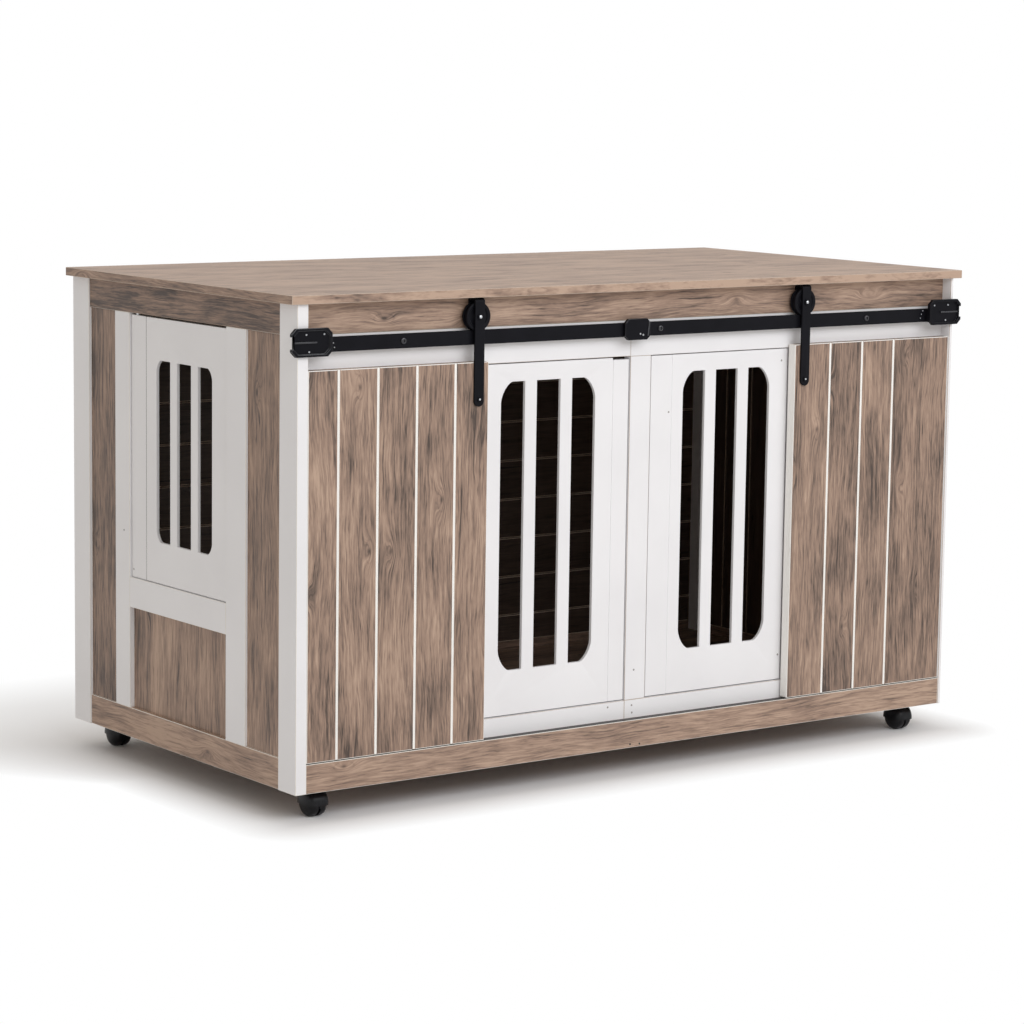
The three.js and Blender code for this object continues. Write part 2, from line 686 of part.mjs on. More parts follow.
// Side gate in a group whose origin is its pivot axis: a slotted board and a plain hinge strip
function addSideGate(crate) {
  const swing = addGroup(crate, sideGatePivotX, sideGatePivotY, 0);
  const frontEdge = sideGateFrontEdge - sideGatePivotY;
  const stripEdge = SIDE_GATE_PIVOT_INSET - SIDE_GATE_STRIP_WIDTH;
  const outer = -SIDE_GATE_THICKNESS / 2;
  const inner = SIDE_GATE_THICKNESS / 2;
  const shape = rectangle(frontEdge, sideGateBottom, stripEdge, sideGateTop);

  const left = frontEdge + SIDE_GATE_FRONT_STILE;
  const right = stripEdge - SIDE_GATE_BACK_STILE;
  const low = sideGateBottom + SIDE_GATE_WINDOW_END;
  const high = sideGateTop - SIDE_GATE_WINDOW_END;
  const slots = slotShapes(
    left, right, low, high, SIDE_GATE_BAR_WIDTH, SIDE_GATE_CORNER_WIDTH, SIDE_GATE_CORNER_HEIGHT,
  ).map((slot) => pullAlongX(slot, 2 * SIDE_GATE_THICKNESS));
  const pocket = block(
    [outer + BAR_THICKNESS, left - SIDE_POCKET_MARGIN, low - SIDE_POCKET_MARGIN],
    [inner + OVERCUT, right + SIDE_POCKET_MARGIN, high + SIDE_POCKET_MARGIN],
  );
  addPart(swing, "side_gate", WHITE, cut(pullAlongX(shape, SIDE_GATE_THICKNESS), pocket, ...slots));

  const strip = block(
    [outer + SIDE_GATE_STRIP_RECESS, stripEdge, sideGateBottom],
    [inner, SIDE_GATE_PIVOT_INSET, sideGateTop],
  );
  const seam = block(
    [outer - OVERCUT, stripEdge - OVERCUT, sideGateBottom - OVERCUT],
    [outer + SIDE_GATE_SEAM_DEPTH, stripEdge + SIDE_GATE_SEAM_WIDTH, sideGateTop + OVERCUT],
  );
  const holes = gatePinHoles(sideGateBottom, sideGateTop);
  addPart(swing, "side_gate_strip", WHITE, cut(strip, seam, ...holes));
  addPin(swing, "side_gate_lower_pin", crosspieceTop, sideGateBottom, -1);
  addPin(swing, "side_gate_upper_pin", topRailBottom, sideGateTop, 1);
}

// ---------------------------------------------------------------- barn doors

// Strap that hangs the door: it lies on the door, folds over the roller and ends behind it
function hangerGeometry() {
  const front = doorFront - STRAP_THICKNESS - rollerY;
  const frontBack = doorFront - rollerY;
  const legFront = ROLLER_WIDTH / 2 + RUNNING_GAP;
  const legBack = legFront + STRAP_THICKNESS;
  const low = doorTop - STRAP_ON_DOOR - rollerZ;
  const underTop = rollerRadius + ROLLER_TOP_GAP;
  const top = underTop + STRAP_THICKNESS;
  const inside = STRAP_BEND_RADIUS;
  const outside = inside + STRAP_THICKNESS;
  const shape = new THREE.Shape();
  shape.moveTo(front, low);
  shape.lineTo(frontBack, low);
  shape.lineTo(frontBack, underTop - inside);
  shape.absarc(frontBack + inside, underTop - inside, inside, Math.PI, Math.PI / 2, true);
  shape.lineTo(legFront - inside, underTop);
  shape.absarc(legFront - inside, underTop - inside, inside, Math.PI / 2, 0, true);
  shape.lineTo(legFront, -STRAP_BACK_LEG);
  shape.lineTo(legBack, -STRAP_BACK_LEG);
  shape.lineTo(legBack, top - outside);
  shape.absarc(legBack - outside, top - outside, outside, 0, Math.PI / 2, false);
  shape.lineTo(front + outside, top);
  shape.absarc(front + outside, top - outside, outside, Math.PI / 2, Math.PI, false);
  const folded = pullAlongX(shape, STRAP_WIDTH);

  const half = STRAP_WIDTH / 2;
  const outline = new THREE.Shape();
  outline.moveTo(half, low + half);
  outline.lineTo(half, top + OVERCUT);
  outline.lineTo(-half, top + OVERCUT);
  outline.lineTo(-half, low + half);
  outline.absarc(0, low + half, half, Math.PI, 2 * Math.PI, false);
  const depth = legBack - front;
  const middle = (front + legBack) / 2;
  const rounded = common(folded, pullAlongY(outline, 2 * depth).translate(0, middle, 0));

  const axle = rod(AXLE_DIAMETER, depth, "y", [0, middle, 0]);
  const headLength = BOLT_HEAD_HEIGHT + OVERCUT;
  const headY = front + OVERCUT - headLength / 2;
  const axleHead = rod(AXLE_HEAD_DIAMETER, headLength, "y", [0, headY, 0]);
  const boltHead = rod(BOLT_HEAD_DIAMETER, headLength, "y", [0, headY, low + BOLT_INSET]);
  return join(rounded, axle, axleHead, boltHead);
}

// Grooved roller with dished faces, its axis along Y
function rollerGeometry() {
  const half = ROLLER_WIDTH / 2;
  const bore = AXLE_DIAMETER / 2 + RUNNING_GAP;
  const hub = ROLLER_HUB_DIAMETER / 2;
  const dish = half - ROLLER_DISH_DEPTH;
  const rim = rollerTread - ROLLER_RIM_WIDTH;
  const groove = ROLLER_GROOVE_WIDTH / 2;
  const profile = [
    [bore, -half], [hub, -half], [hub + ROLLER_DISH_SLOPE, -dish], [rim, -dish],
    [rim + ROLLER_DISH_SLOPE, -half],
    [rollerRadius - ROLLER_EDGE, -half], [rollerRadius, ROLLER_EDGE - half], [rollerRadius, -groove],
    [rollerTread, -groove], [rollerTread, groove],
    [rollerRadius, groove], [rollerRadius, half - ROLLER_EDGE], [rollerRadius - ROLLER_EDGE, half],
    [bore, half], [bore, -half],
  ];
  return new THREE.LatheGeometry(profile.map(([r, y]) => new THREE.Vector2(r, y)), ROLLER_FLATS);
}

// Door in a group whose origin is under its hanger, near the edge that faces the middle
function addBarnDoor(crate, side, label, outer, width, firstPlank, planks) {
  const inner = outer - side * width;
  const hangerX = inner + side * HANGER_INSET;
  const slide = addGroup(crate, hangerX, 0, 0);
  const steps = grooveSteps(firstPlank, width).slice(0, planks - 1);
  const section = plankSection(width, DOOR_THICKNESS, steps, false);
  const door = pullAlongZ(shapeFrom(section), doorTop - doorBottom);
  const left = Math.min(outer, inner) - hangerX;
  addPart(slide, `${label}_barn_door`, WOOD, door, [left, doorFront, doorBottom]);
  addPart(slide, `${label}_hanger`, BLACK_STEEL, hangerGeometry(), [0, rollerY, rollerZ]);
  addPart(slide, `${label}_roller`, BLACK_STEEL, rollerGeometry(), [0, rollerY, rollerZ]);
}

// ---------------------------------------------------------------- rail

// Flat rail from x0 to x1 with a round spacer to the header behind each of its screws
function addRail(crate, name, x0, x1, screws) {
  const middle = (railTop + railBottom) / 2;
  const bar = block([x0, railFront, railBottom], [x1, railBack, railTop]);
  const spacerFront = railBack - OVERCUT;
  const spacers = screws.map((x) => {
    const place = [x, (spacerFront + whiteFront) / 2, middle];
    return rod(SPACER_DIAMETER, whiteFront - spacerFront, "y", place);
  });
  addPart(crate, name, BLACK_STEEL, join(bar, ...spacers));
}

function chamferedPlate(x0, z0, x1, z1, chamfer) {
  return shapeFrom([
    [x0 + chamfer, z0], [x1 - chamfer, z0], [x1, z0 + chamfer], [x1, z1 - chamfer],
    [x1 - chamfer, z1], [x0 + chamfer, z1], [x0, z1 - chamfer], [x0, z0 + chamfer],
  ]);
}

// Plate over the joint of the two rails, with a pin under the rail that reaches the header
function addCentreBracket(crate) {
  const low = railTop + BRACKET_RISE - BRACKET_HEIGHT;
  const high = railTop + BRACKET_RISE;
  const left = RAIL_JOINT - BRACKET_LENGTH / 2;
  const right = RAIL_JOINT + BRACKET_LENGTH / 2;
  const plate = pullAlongY(chamferedPlate(left, low, right, high, BRACKET_CHAMFER), BRACKET_THICKNESS);
  plate.translate(0, railFront - BRACKET_THICKNESS / 2, 0);
  const pinFront = railFront - OVERCUT;
  const place = [RAIL_JOINT, (pinFront + whiteFront) / 2, (low + railBottom) / 2];
  const pin = rod(BRACKET_PIN_DIAMETER, whiteFront - pinFront, "y", place);
  addPart(crate, "centre_bracket", BLACK_STEEL, join(plate, pin));
}

// End stop on the face of a post: a plate with raised rims, an ear above and below a notch at
// its outer end, and a tongue onto the rail
function addEndStop(crate, side, label) {
  const outer = carcassHalf + STOP_OVERHANG;
  const inner = outer - STOP_LENGTH;
  const high = railTop + STOP_RISE;
  const low = high - STOP_HEIGHT;
  const x0 = Math.min(side * outer, side * inner);
  const x1 = Math.max(side * outer, side * inner);
  const plate = pullAlongY(chamferedPlate(x0, low, x1, high, STOP_CHAMFER), STOP_PROUD);
  plate.translate(0, carcassFront - STOP_PROUD / 2, 0);
  const pocket = pullAlongY(
    chamferedPlate(x0 + STOP_RIM, low + STOP_RIM, x1 - STOP_RIM, high - STOP_RIM, STOP_CHAMFER),
    STOP_PROUD,
  );
  pocket.translate(0, carcassFront - STOP_PLATE - STOP_PROUD / 2, 0);
  const notch = block(
    [side * (outer + OVERCUT), carcassFront - STOP_PROUD - OVERCUT, low + STOP_EAR_HEIGHT],
    [side * (outer - STOP_EAR_LENGTH), carcassFront + OVERCUT, high - STOP_EAR_HEIGHT],
  );
  const tongue = block(
    [side * inner, carcassFront - STOP_PLATE / 2, railBottom],
    [side * (inner + STOP_TONGUE_LENGTH), railFront, railTop],
  );
  addPart(crate, `${label}_end_stop`, BLACK_STEEL, join(cut(plate, pocket, notch), tongue));
}

function addTrack(crate) {
  addRail(crate, "rail_left", frontLeft + RAIL_END_GAP, RAIL_JOINT, LEFT_RAIL_SCREWS);
  addRail(crate, "rail_right", RAIL_JOINT, frontRight - RAIL_END_GAP, RIGHT_RAIL_SCREWS);
  addCentreBracket(crate);
  addEndStop(crate, -1, "left");
  addEndStop(crate, 1, "right");
}

// ---------------------------------------------------------------- casters

// Outline of a drum with a flat tread and rounded shoulders: radius and place along the axis
function drumProfile(radius, halfWidth, treadHalf) {
  const shoulder = [];
  for (let i = 0; i <= SHOULDER_STEPS; i += 1) {
    const angle = (Math.PI / 2) * (i / SHOULDER_STEPS);
    const out = i === 0 ? 0 : radius * Math.sin(angle) ** (2 / WHEEL_ROUNDNESS);
    const along = i === SHOULDER_STEPS ? 0 : Math.cos(angle) ** (2 / WHEEL_ROUNDNESS);
    shoulder.push([out, treadHalf + (halfWidth - treadHalf) * along]);
  }
  const left = shoulder.map(([r, y]) => new THREE.Vector2(r, -y));
  const right = shoulder.reverse().map(([r, y]) => new THREE.Vector2(r, y));
  return [...left, ...right];
}

// Solid of revolution about X
function turned(points) {
  const geometry = new THREE.LatheGeometry(points, WHEEL_FLATS);
  return geometry.rotateZ(-Math.PI / 2);
}

// Wheel of two rounded halves on one axle, with a slot between them for the hood's web
function wheelGeometry() {
  const drum = turned(drumProfile(wheelRadius, WHEEL_WIDTH / 2, WHEEL_TREAD_WIDTH / 2));
  const half = WHEEL_SLOT / 2;
  const neck = CASTER_AXLE_DIAMETER / 2;
  const outside = wheelRadius + OVERCUT;
  const ring = [[neck, -half], [outside, -half], [outside, half], [neck, half], [neck, -half]];
  const slot = turned(ring.map(([r, y]) => new THREE.Vector2(r, y)));
  return cut(drum, slot);
}

// Hood over the upper half of the wheel, with a web that holds its axle, a collar and a stem.
// The origin is on the wheel's axle; the stem stands the trail away from it along Y.
function hoodGeometry(trail) {
  const halfWidth = WHEEL_WIDTH / 2 + HOOD_CLEARANCE;
  const treadHalf = WHEEL_TREAD_WIDTH / 2;
  const outer = turned(drumProfile(hoodRadius, halfWidth + HOOD_WALL, treadHalf));
  const hollow = turned(drumProfile(wheelRadius + HOOD_CLEARANCE, halfWidth, treadHalf));
  const reach = 2 * hoodRadius;
  const below = block([-reach, -reach, -reach], [reach, reach, -HOOD_SKIRT]);
  const shell = cut(outer, hollow, below);
  const web = cut(
    rod(2 * (wheelRadius + HOOD_CLEARANCE + HOOD_WALL / 2), WEB_THICKNESS, "x", [0, 0, 0]),
    block([-reach, -reach, -reach], [reach, reach, -WEB_SKIRT]),
    rod(CASTER_AXLE_DIAMETER + 2 * RUNNING_GAP, 2 * WEB_THICKNESS, "x", [0, 0, 0]),
  );
  const collarTop = carcassBottom - RUNNING_GAP - wheelRadius;
  const collarMiddle = (collarTop + COLLAR_ROOT) / 2;
  const collar = rod(COLLAR_DIAMETER, collarTop - COLLAR_ROOT, "z", [0, trail, collarMiddle]);
  const boss = cut(collar, hollow);
  const stemTop = floorBottom + STEM_GRIP - wheelRadius;
  const stemLow = collarTop - OVERCUT;
  const stem = rod(STEM_DIAMETER, stemTop - stemLow, "z", [0, trail, (stemTop + stemLow) / 2]);
  return join(shell, web, boss, stem);
}

function addCasters(crate) {
  for (const { name, x, y, way } of stemPlaces()) {
    const swivel = addGroup(crate, x, y, 0);
    const axle = addGroup(swivel, 0, way * CASTER_TRAIL, wheelRadius);
    addPart(axle, `${name}_caster_hood`, BLACK_NYLON, hoodGeometry(-way * CASTER_TRAIL));
    addPart(axle, `${name}_caster_wheel`, BLACK_NYLON, wheelGeometry());
  }
}

// ---------------------------------------------------------------- assembly

const crate = new THREE.Group();
crate.name = "dog_crate_end_table";
addTabletop(crate);
addPosts(crate);
addFloor(crate);
addBack(crate);
addRightSide(crate);
addLeftSide(crate);
addFrontFrame(crate);
addFrontGate(crate, -1, "left", LEFT_GATE_STRIP_WIDTH, LEFT_GATE_STRIP_DROP);
addFrontGate(crate, 1, "right", RIGHT_GATE_STRIP_WIDTH, RIGHT_GATE_STRIP_DROP);
addSideGate(crate);
addTrack(crate);
addBarnDoor(crate, -1, "left", leftDoorOuter, LEFT_DOOR_WIDTH, LEFT_DOOR_FIRST_PLANK, LEFT_DOOR_PLANKS);
addBarnDoor(
  crate, 1, "right", rightDoorOuter, rightDoorWidth, RIGHT_DOOR_FIRST_PLANK, RIGHT_DOOR_PLANKS,
);
addCasters(crate);

export default crate;
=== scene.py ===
# Looks of the dog crate end table: bevelled boards in rustic oak laminate and white paint, black
# track hardware, ball casters, a pale studio floor, soft light and the camera.
# Metres. X runs to the right, Y to the back and Z up.

import json
import math

import bmesh
import bpy
from mathutils import Matrix, Vector

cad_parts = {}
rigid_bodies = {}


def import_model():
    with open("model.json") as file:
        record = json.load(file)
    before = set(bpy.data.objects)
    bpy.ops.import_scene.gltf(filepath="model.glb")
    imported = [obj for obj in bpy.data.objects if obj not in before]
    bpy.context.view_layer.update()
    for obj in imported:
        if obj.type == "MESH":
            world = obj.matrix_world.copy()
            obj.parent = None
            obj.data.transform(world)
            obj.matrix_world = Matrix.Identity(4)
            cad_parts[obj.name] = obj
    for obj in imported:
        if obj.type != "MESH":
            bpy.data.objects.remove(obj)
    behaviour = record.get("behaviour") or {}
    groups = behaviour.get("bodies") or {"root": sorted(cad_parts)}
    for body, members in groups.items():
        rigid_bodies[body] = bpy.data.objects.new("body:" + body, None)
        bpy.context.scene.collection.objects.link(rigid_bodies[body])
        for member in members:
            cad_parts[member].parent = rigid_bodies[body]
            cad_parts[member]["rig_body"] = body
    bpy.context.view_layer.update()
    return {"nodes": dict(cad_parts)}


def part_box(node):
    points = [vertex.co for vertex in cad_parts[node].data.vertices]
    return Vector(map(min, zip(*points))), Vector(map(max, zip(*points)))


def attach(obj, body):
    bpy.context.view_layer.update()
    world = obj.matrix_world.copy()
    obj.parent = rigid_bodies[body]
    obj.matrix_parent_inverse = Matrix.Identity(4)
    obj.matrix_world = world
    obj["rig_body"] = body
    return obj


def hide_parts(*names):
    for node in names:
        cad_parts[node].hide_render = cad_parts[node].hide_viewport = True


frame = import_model()
nodes = frame["nodes"]

MM = 0.001

# ---------------------------------------------------------------- sizes of the dressing

BOARD_ARRIS = 0.7 * MM
DOOR_ARRIS = 1.1 * MM
GATE_ARRIS = 0.8 * MM
METAL_ARRIS = 0.4 * MM
STOP_ARRIS = 0.7 * MM
WELD_DISTANCE = 0.01 * MM
FLAT_ANGLE = math.radians(1)
BEVEL_STEPS = 2
CORNER_ANGLE = math.radians(30)
SMOOTH_ANGLE = math.radians(20)
TURNED_SMOOTH_ANGLE = math.radians(32)
TURN_STEPS = 64
SCREW_STEPS = 24
BURIED = 0.5 * MM

# ---------------------------------------------------------------- colours

OAK_DARK = (0.070, 0.047, 0.036)
OAK_SHADE = (0.205, 0.138, 0.104)
OAK_MIDDLE = (0.345, 0.232, 0.172)
OAK_LIGHT = (0.500, 0.352, 0.262)
ARRIS_TAN = (0.62, 0.50, 0.40)
SEAM_TAN = (0.60, 0.53, 0.47)
CREAM = (0.88, 0.85, 0.79)
GROOVE_CREAM = (0.95, 0.93, 0.89)
PAINT_WHITE = (0.885, 0.880, 0.895)
PAINT_SHADE = (0.850, 0.844, 0.860)
STEEL_BLACK = (0.0052, 0.0052, 0.0070)
# Lighter than the coat's black: painted highlight on rims, ridges and screw heads
STEEL_RIM_HIGHLIGHT = (0.013, 0.013, 0.017)
NYLON_BLACK = (0.0060, 0.0060, 0.0075)
ZINC_GREY = (0.62, 0.63, 0.65)
# Near-black for painted shade in gaps, holes and seams
GAP_SHADE_BLACK = (0.012, 0.009, 0.008)
MARK_GREY = (0.36, 0.34, 0.33)
FLOOR_COLOUR = (0.94, 0.94, 0.95)
BACKDROP = (1.0, 1.0, 1.0)

# What the faint print under each paint multiplies its colour by
CREAM_PRINT = 0.94
GROOVE_PRINT = 0.97
SEAM_PRINT = 0.90
GAP_SHADE_PRINT = 1.6
MARK_PRINT = 0.8

# Detail of the noise in the finishes
FINE_DETAIL = 2.0
BROAD_DETAIL = 3.0
SCUFF_DETAIL = 4.0


def scaled(colour, share):
    return tuple(share * c for c in colour)


# ---------------------------------------------------------------- node graphs


class Graph:
    """Short calls that build the nodes of a material or of the world around the object."""

    def __init__(self, owner):
        owner.use_nodes = True
        self.owner = owner
        self.tree = owner.node_tree
        self.shader = self.tree.nodes.get("Principled BSDF")

    def node(self, kind, inputs=(), **settings):
        made = self.tree.nodes.new(kind)
        for key, value in settings.items():
            setattr(made, key, value)
        for socket, value in dict(inputs).items():
            self.feed(made.inputs[socket], value)
        return made

    def feed(self, socket, value):
        """Links a node's output to the socket, or sets the socket to a plain value."""
        if isinstance(value, bpy.types.NodeSocket):
            self.tree.links.new(value, socket)
        elif isinstance(value, tuple) and socket.type == "RGBA" and len(value) == 3:
            socket.default_value = (*value, 1.0)
        else:
            socket.default_value = value

    def math(self, operation, *values, clamp=False):
        made = self.node("ShaderNodeMath", operation=operation, use_clamp=clamp)
        for socket, value in zip(made.inputs, values):
            self.feed(socket, value)
        return made.outputs[0]

    def vector(self, x, y, z):
        return self.node("ShaderNodeCombineXYZ", {"X": x, "Y": y, "Z": z}).outputs[0]

    def noise(self, place, detail, roughness=0.5):
        inputs = {"Vector": place, "Scale": 1.0, "Detail": detail, "Roughness": roughness}
        return self.node("ShaderNodeTexNoise", inputs).outputs["Fac"]

    def solid_noise(self, axes, waves, detail):
        """Noise through the whole solid, with this many waves to the metre."""
        stretched = [self.math("MULTIPLY", axis, waves) for axis in axes]
        return self.noise(self.vector(*stretched), detail)

    def swing(self, value, weight, base):
        """base, raised or lowered by up to half the weight as a noise value leaves its middle."""
        return self.math("MULTIPLY_ADD", self.math("SUBTRACT", value, 0.5), weight, base)

    def rough(self, value, limits):
        """Roughness from the first limit to the second as value goes from 0 to 1."""
        low, high = limits
        return self.math("MULTIPLY_ADD", value, high - low, low)

    def spread(self, value, low, high):
        """value mapped so that low gives 0 and high gives 1, held inside 0 to 1."""
        inputs = {"Value": value, "From Min": low, "From Max": high}
        return self.node("ShaderNodeMapRange", inputs).outputs["Result"]

    def ramp(self, factor, stops):
        made = self.node("ShaderNodeValToRGB", {"Fac": factor})
        elements = made.color_ramp.elements
        while len(elements) < len(stops):
            elements.new(0.5)
        for element, (place, colour) in zip(elements, stops):
            element.position = place
            element.color = (*colour, 1.0)
        return made.outputs["Color"]

    def mix(self, factor, first, second):
        made = self.node("ShaderNodeMix", data_type="RGBA")
        self.feed(made.inputs["Factor"], factor)
        self.feed(made.inputs[6], first)
        self.feed(made.inputs[7], second)
        return made.outputs[2]

    def bump(self, height, strength, distance):
        inputs = {"Height": height, "Strength": strength, "Distance": distance}
        return self.node("ShaderNodeBump", inputs).outputs["Normal"]

    def surface(self, **inputs):
        for key, value in inputs.items():
            self.feed(self.shader.inputs[key.replace("_", " ")], value)
        return self.owner

    def place(self):
        """The point in object coordinates, as three separate values."""
        coordinates = self.node("ShaderNodeTexCoord").outputs["Object"]
        return self.node("ShaderNodeSeparateXYZ", {"Vector": coordinates}).outputs


# ---------------------------------------------------------------- oak laminate

# Noise layers: waves to the metre across and along the grain, detail, roughness of the noise
BANDS = (24.0, 1.0, 2.0, 0.55)
LINES = (165.0, 8.5, 3.0, 0.66)
FIBRE = (400.0, 24.0, 3.0, 0.70)
PORES = (520.0, 36.0, 2.0, 0.55)
RINGS = (64.0, 1.5, 2.0, 0.55)
HAIRS = (190.0, 4.4, 1.0, 0.55)
BLOTCH_ACROSS = 22.0
BLOTCH_ALONG = 7.5
BLOTCH_DETAIL = 4.0
DEPTH_SHARE = 0.3

# How far each layer lightens or darkens the print
BAND_WEIGHT = 0.45
LINE_WEIGHT = 1.05
FIBRE_WEIGHT = 1.45
BLOTCH_WEIGHT = -0.95
PLANK_WEIGHT = 0.14
RING_DARK = 0.26
HAIR_DARK = 0.20
KNOT_DARK = 0.55
CRACK_DARK = 0.62
PORE_DARK = 0.26

# The thin lines, where rings and pores show, the print's middle level and its finish
LINE_WIDTH = 0.050
RING_SHARPNESS = 1.6
HAIR_SHARPNESS = 1.2
RING_BLOTCHES = (0.40, 0.62)
PORE_RANGE = (0.56, 0.70)
BASE_LEVEL = 0.68
OAK_STOPS = [(0.0, OAK_DARK), (0.30, OAK_SHADE), (0.60, OAK_MIDDLE), (0.95, OAK_LIGHT)]
OAK_ROUGH = (0.46, 0.62)
OAK_HEIGHT_SHARE = 0.6
OAK_BUMP = 0.30
OAK_BUMP_DEPTH = 0.3 * MM

# Slow and quick wandering of the grain: waves across and along, and how far it moves
SLOW_WANDER = (9.0, 2.6, 0.034)
QUICK_WANDER = (55.0, 19.0, 0.0050)
WANDER_DETAIL = 2.0

# Knots and cracks, in metres: each cell has room for one, and this share of the cells has it
KNOT_CELL_ACROSS = 0.070
KNOT_CELL_ALONG = 0.21
KNOT_HALF_WIDTH = 0.0085
KNOT_HALF_LENGTH = 0.021
KNOT_SHARE = 0.50
KNOT_PUSH = 0.011
KNOT_SIZE_RANGE = (0.25, 0.9)
CORE_WIDTH_SHARE = 0.30
CORE_LENGTH_SHARE = 0.22
RIM_PLACE = 0.55
RIM_WIDTH = 0.10
RIM_DARK = 0.28
CRACK_CELL_ACROSS = 0.085
CRACK_CELL_ALONG = 0.34
CRACK_HALF_LENGTH = 0.075
CRACK_SHORTEST = 0.4
CRACK_WIDTH = 0.0013
CRACK_TIP_WIDTH = 0.00001
CRACK_SHARE = 0.60

# How far the print is moved from plank to plank
PLANK_SHIFT_ALONG = 3.7
PLANK_SHIFT_ACROSS = 0.9


def oak(name, along, across, seed, planks=None, tone=0.0, contrast=1.0, shade=1.0):
    """Printed oak with its grain along one axis. planks is (first edge, plank width) across it."""
    graph = Graph(bpy.data.materials.new(name))
    u, v, depth, plank_level = plank_places(graph, along, across, seed, planks)
    field, core = grain_field(graph, u, v, depth)

    def streaks(across_waves, along_waves, detail, roughness):
        place = graph.vector(
            graph.math("MULTIPLY", field, across_waves),
            graph.math("MULTIPLY", v, along_waves),
            graph.math("MULTIPLY", depth, across_waves * DEPTH_SHARE),
        )
        return graph.noise(place, detail, roughness)

    fibre = streaks(*FIBRE)
    blotch_place = graph.vector(
        graph.math("MULTIPLY", field, BLOTCH_ACROSS), graph.math("MULTIPLY", v, BLOTCH_ALONG), 0.0
    )
    blotch = graph.noise(blotch_place, BLOTCH_DETAIL)

    rings = thin_lines(graph, streaks(*RINGS), RING_SHARPNESS)
    ring_mask = graph.spread(blotch, *RING_BLOTCHES)
    dark = graph.math("MULTIPLY", rings, graph.math("MULTIPLY", ring_mask, RING_DARK * contrast))
    hairs = thin_lines(graph, streaks(*HAIRS), HAIR_SHARPNESS)
    dark = graph.math("MULTIPLY_ADD", hairs, HAIR_DARK * contrast, dark)
    dark = graph.math("MULTIPLY_ADD", core, KNOT_DARK, dark)
    dark = graph.math("MULTIPLY_ADD", cracks(graph, field, v, seed), CRACK_DARK, dark)
    pores = graph.spread(streaks(*PORES), *PORE_RANGE)
    dark = graph.math("MULTIPLY_ADD", pores, PORE_DARK * contrast, dark)

    level = graph.swing(streaks(*BANDS), BAND_WEIGHT * contrast, BASE_LEVEL)
    level = graph.swing(streaks(*LINES), LINE_WEIGHT * contrast, level)
    level = graph.swing(fibre, FIBRE_WEIGHT * contrast, level)
    level = graph.swing(blotch, BLOTCH_WEIGHT * contrast, level)
    level = graph.swing(plank_level, PLANK_WEIGHT, level)
    level = graph.math("ADD", level, tone)
    level = graph.math("SUBTRACT", level, dark, clamp=True)

    # shade below 1 multiplies every colour of the print: painted shade for faces that lie in the dark
    colour = graph.ramp(level, [(place, scaled(tint, shade)) for place, tint in OAK_STOPS])
    height = graph.math(
        "ADD",
        graph.math("MULTIPLY", fibre, OAK_HEIGHT_SHARE),
        graph.math("MULTIPLY", level, OAK_HEIGHT_SHARE),
    )
    normal = graph.bump(height, OAK_BUMP, OAK_BUMP_DEPTH)
    return graph.surface(Base_Color=colour, Roughness=graph.rough(fibre, OAK_ROUGH), Normal=normal)


def plank_places(graph, along, across, seed, planks):
    """Places across, along and into the board, moved for each plank, and the plank's own level."""
    axes = graph.place()
    u = axes[across]
    v = axes[along]
    plank = 0.0
    if planks:
        first, width = planks
        plank = graph.math("FLOOR", graph.math("DIVIDE", graph.math("SUBTRACT", u, first), width))
    chance = graph.node("ShaderNodeTexWhiteNoise", noise_dimensions="1D")
    graph.feed(chance.inputs["W"], graph.math("ADD", plank, seed))
    pick = graph.node("ShaderNodeSeparateXYZ", {"Vector": chance.outputs["Color"]}).outputs
    v = graph.math("MULTIPLY_ADD", pick[0], PLANK_SHIFT_ALONG, v)
    u = graph.math("MULTIPLY_ADD", pick[1], PLANK_SHIFT_ACROSS, u)
    return u, v, axes[3 - along - across], pick[2]


def thin_lines(graph, value, sharpness):
    """1 along the middle of the noise, falling to 0 at a line's width from it."""
    ridge = graph.math("ABSOLUTE", graph.math("SUBTRACT", value, 0.5))
    fall = graph.math("SUBTRACT", 1.0, graph.spread(ridge, 0.0, LINE_WIDTH))
    return graph.math("POWER", fall, sharpness)


def cell_marks(graph, u, v, across, along):
    """Scattered marks, one to a cell: distances from its mark across and along, and three picks."""
    cell = graph.node("ShaderNodeTexVoronoi", voronoi_dimensions="2D", feature="F1")
    place = graph.vector(graph.math("DIVIDE", u, across), graph.math("DIVIDE", v, along), 0.0)
    graph.feed(cell.inputs["Vector"], place)
    cell.inputs["Scale"].default_value = 1.0
    here = graph.node("ShaderNodeSeparateXYZ", {"Vector": place}).outputs
    centre = graph.node("ShaderNodeSeparateXYZ", {"Vector": cell.outputs["Position"]}).outputs
    pick = graph.node("ShaderNodeSeparateXYZ", {"Vector": cell.outputs["Color"]}).outputs
    off_u = graph.math("MULTIPLY", graph.math("SUBTRACT", here[0], centre[0]), across)
    off_v = graph.math("MULTIPLY", graph.math("SUBTRACT", here[1], centre[1]), along)
    return off_u, off_v, pick


def bell(graph, off_u, off_v, half_width, half_length):
    """1 at a mark's centre, fading over an ellipse of these half axes."""
    a = graph.math("POWER", graph.math("DIVIDE", off_u, half_width), 2.0)
    b = graph.math("POWER", graph.math("DIVIDE", off_v, half_length), 2.0)
    return graph.math("EXPONENT", graph.math("MULTIPLY", graph.math("ADD", a, b), -1.0))


def wander(graph, u, v, depth, settings, base):
    """base, moved across the grain by a noise with these waves and this reach."""
    across_waves, along_waves, reach = settings
    place = graph.vector(
        graph.math("MULTIPLY", u, across_waves), graph.math("MULTIPLY", v, along_waves), depth
    )
    return graph.swing(graph.noise(place, WANDER_DETAIL), reach, base)


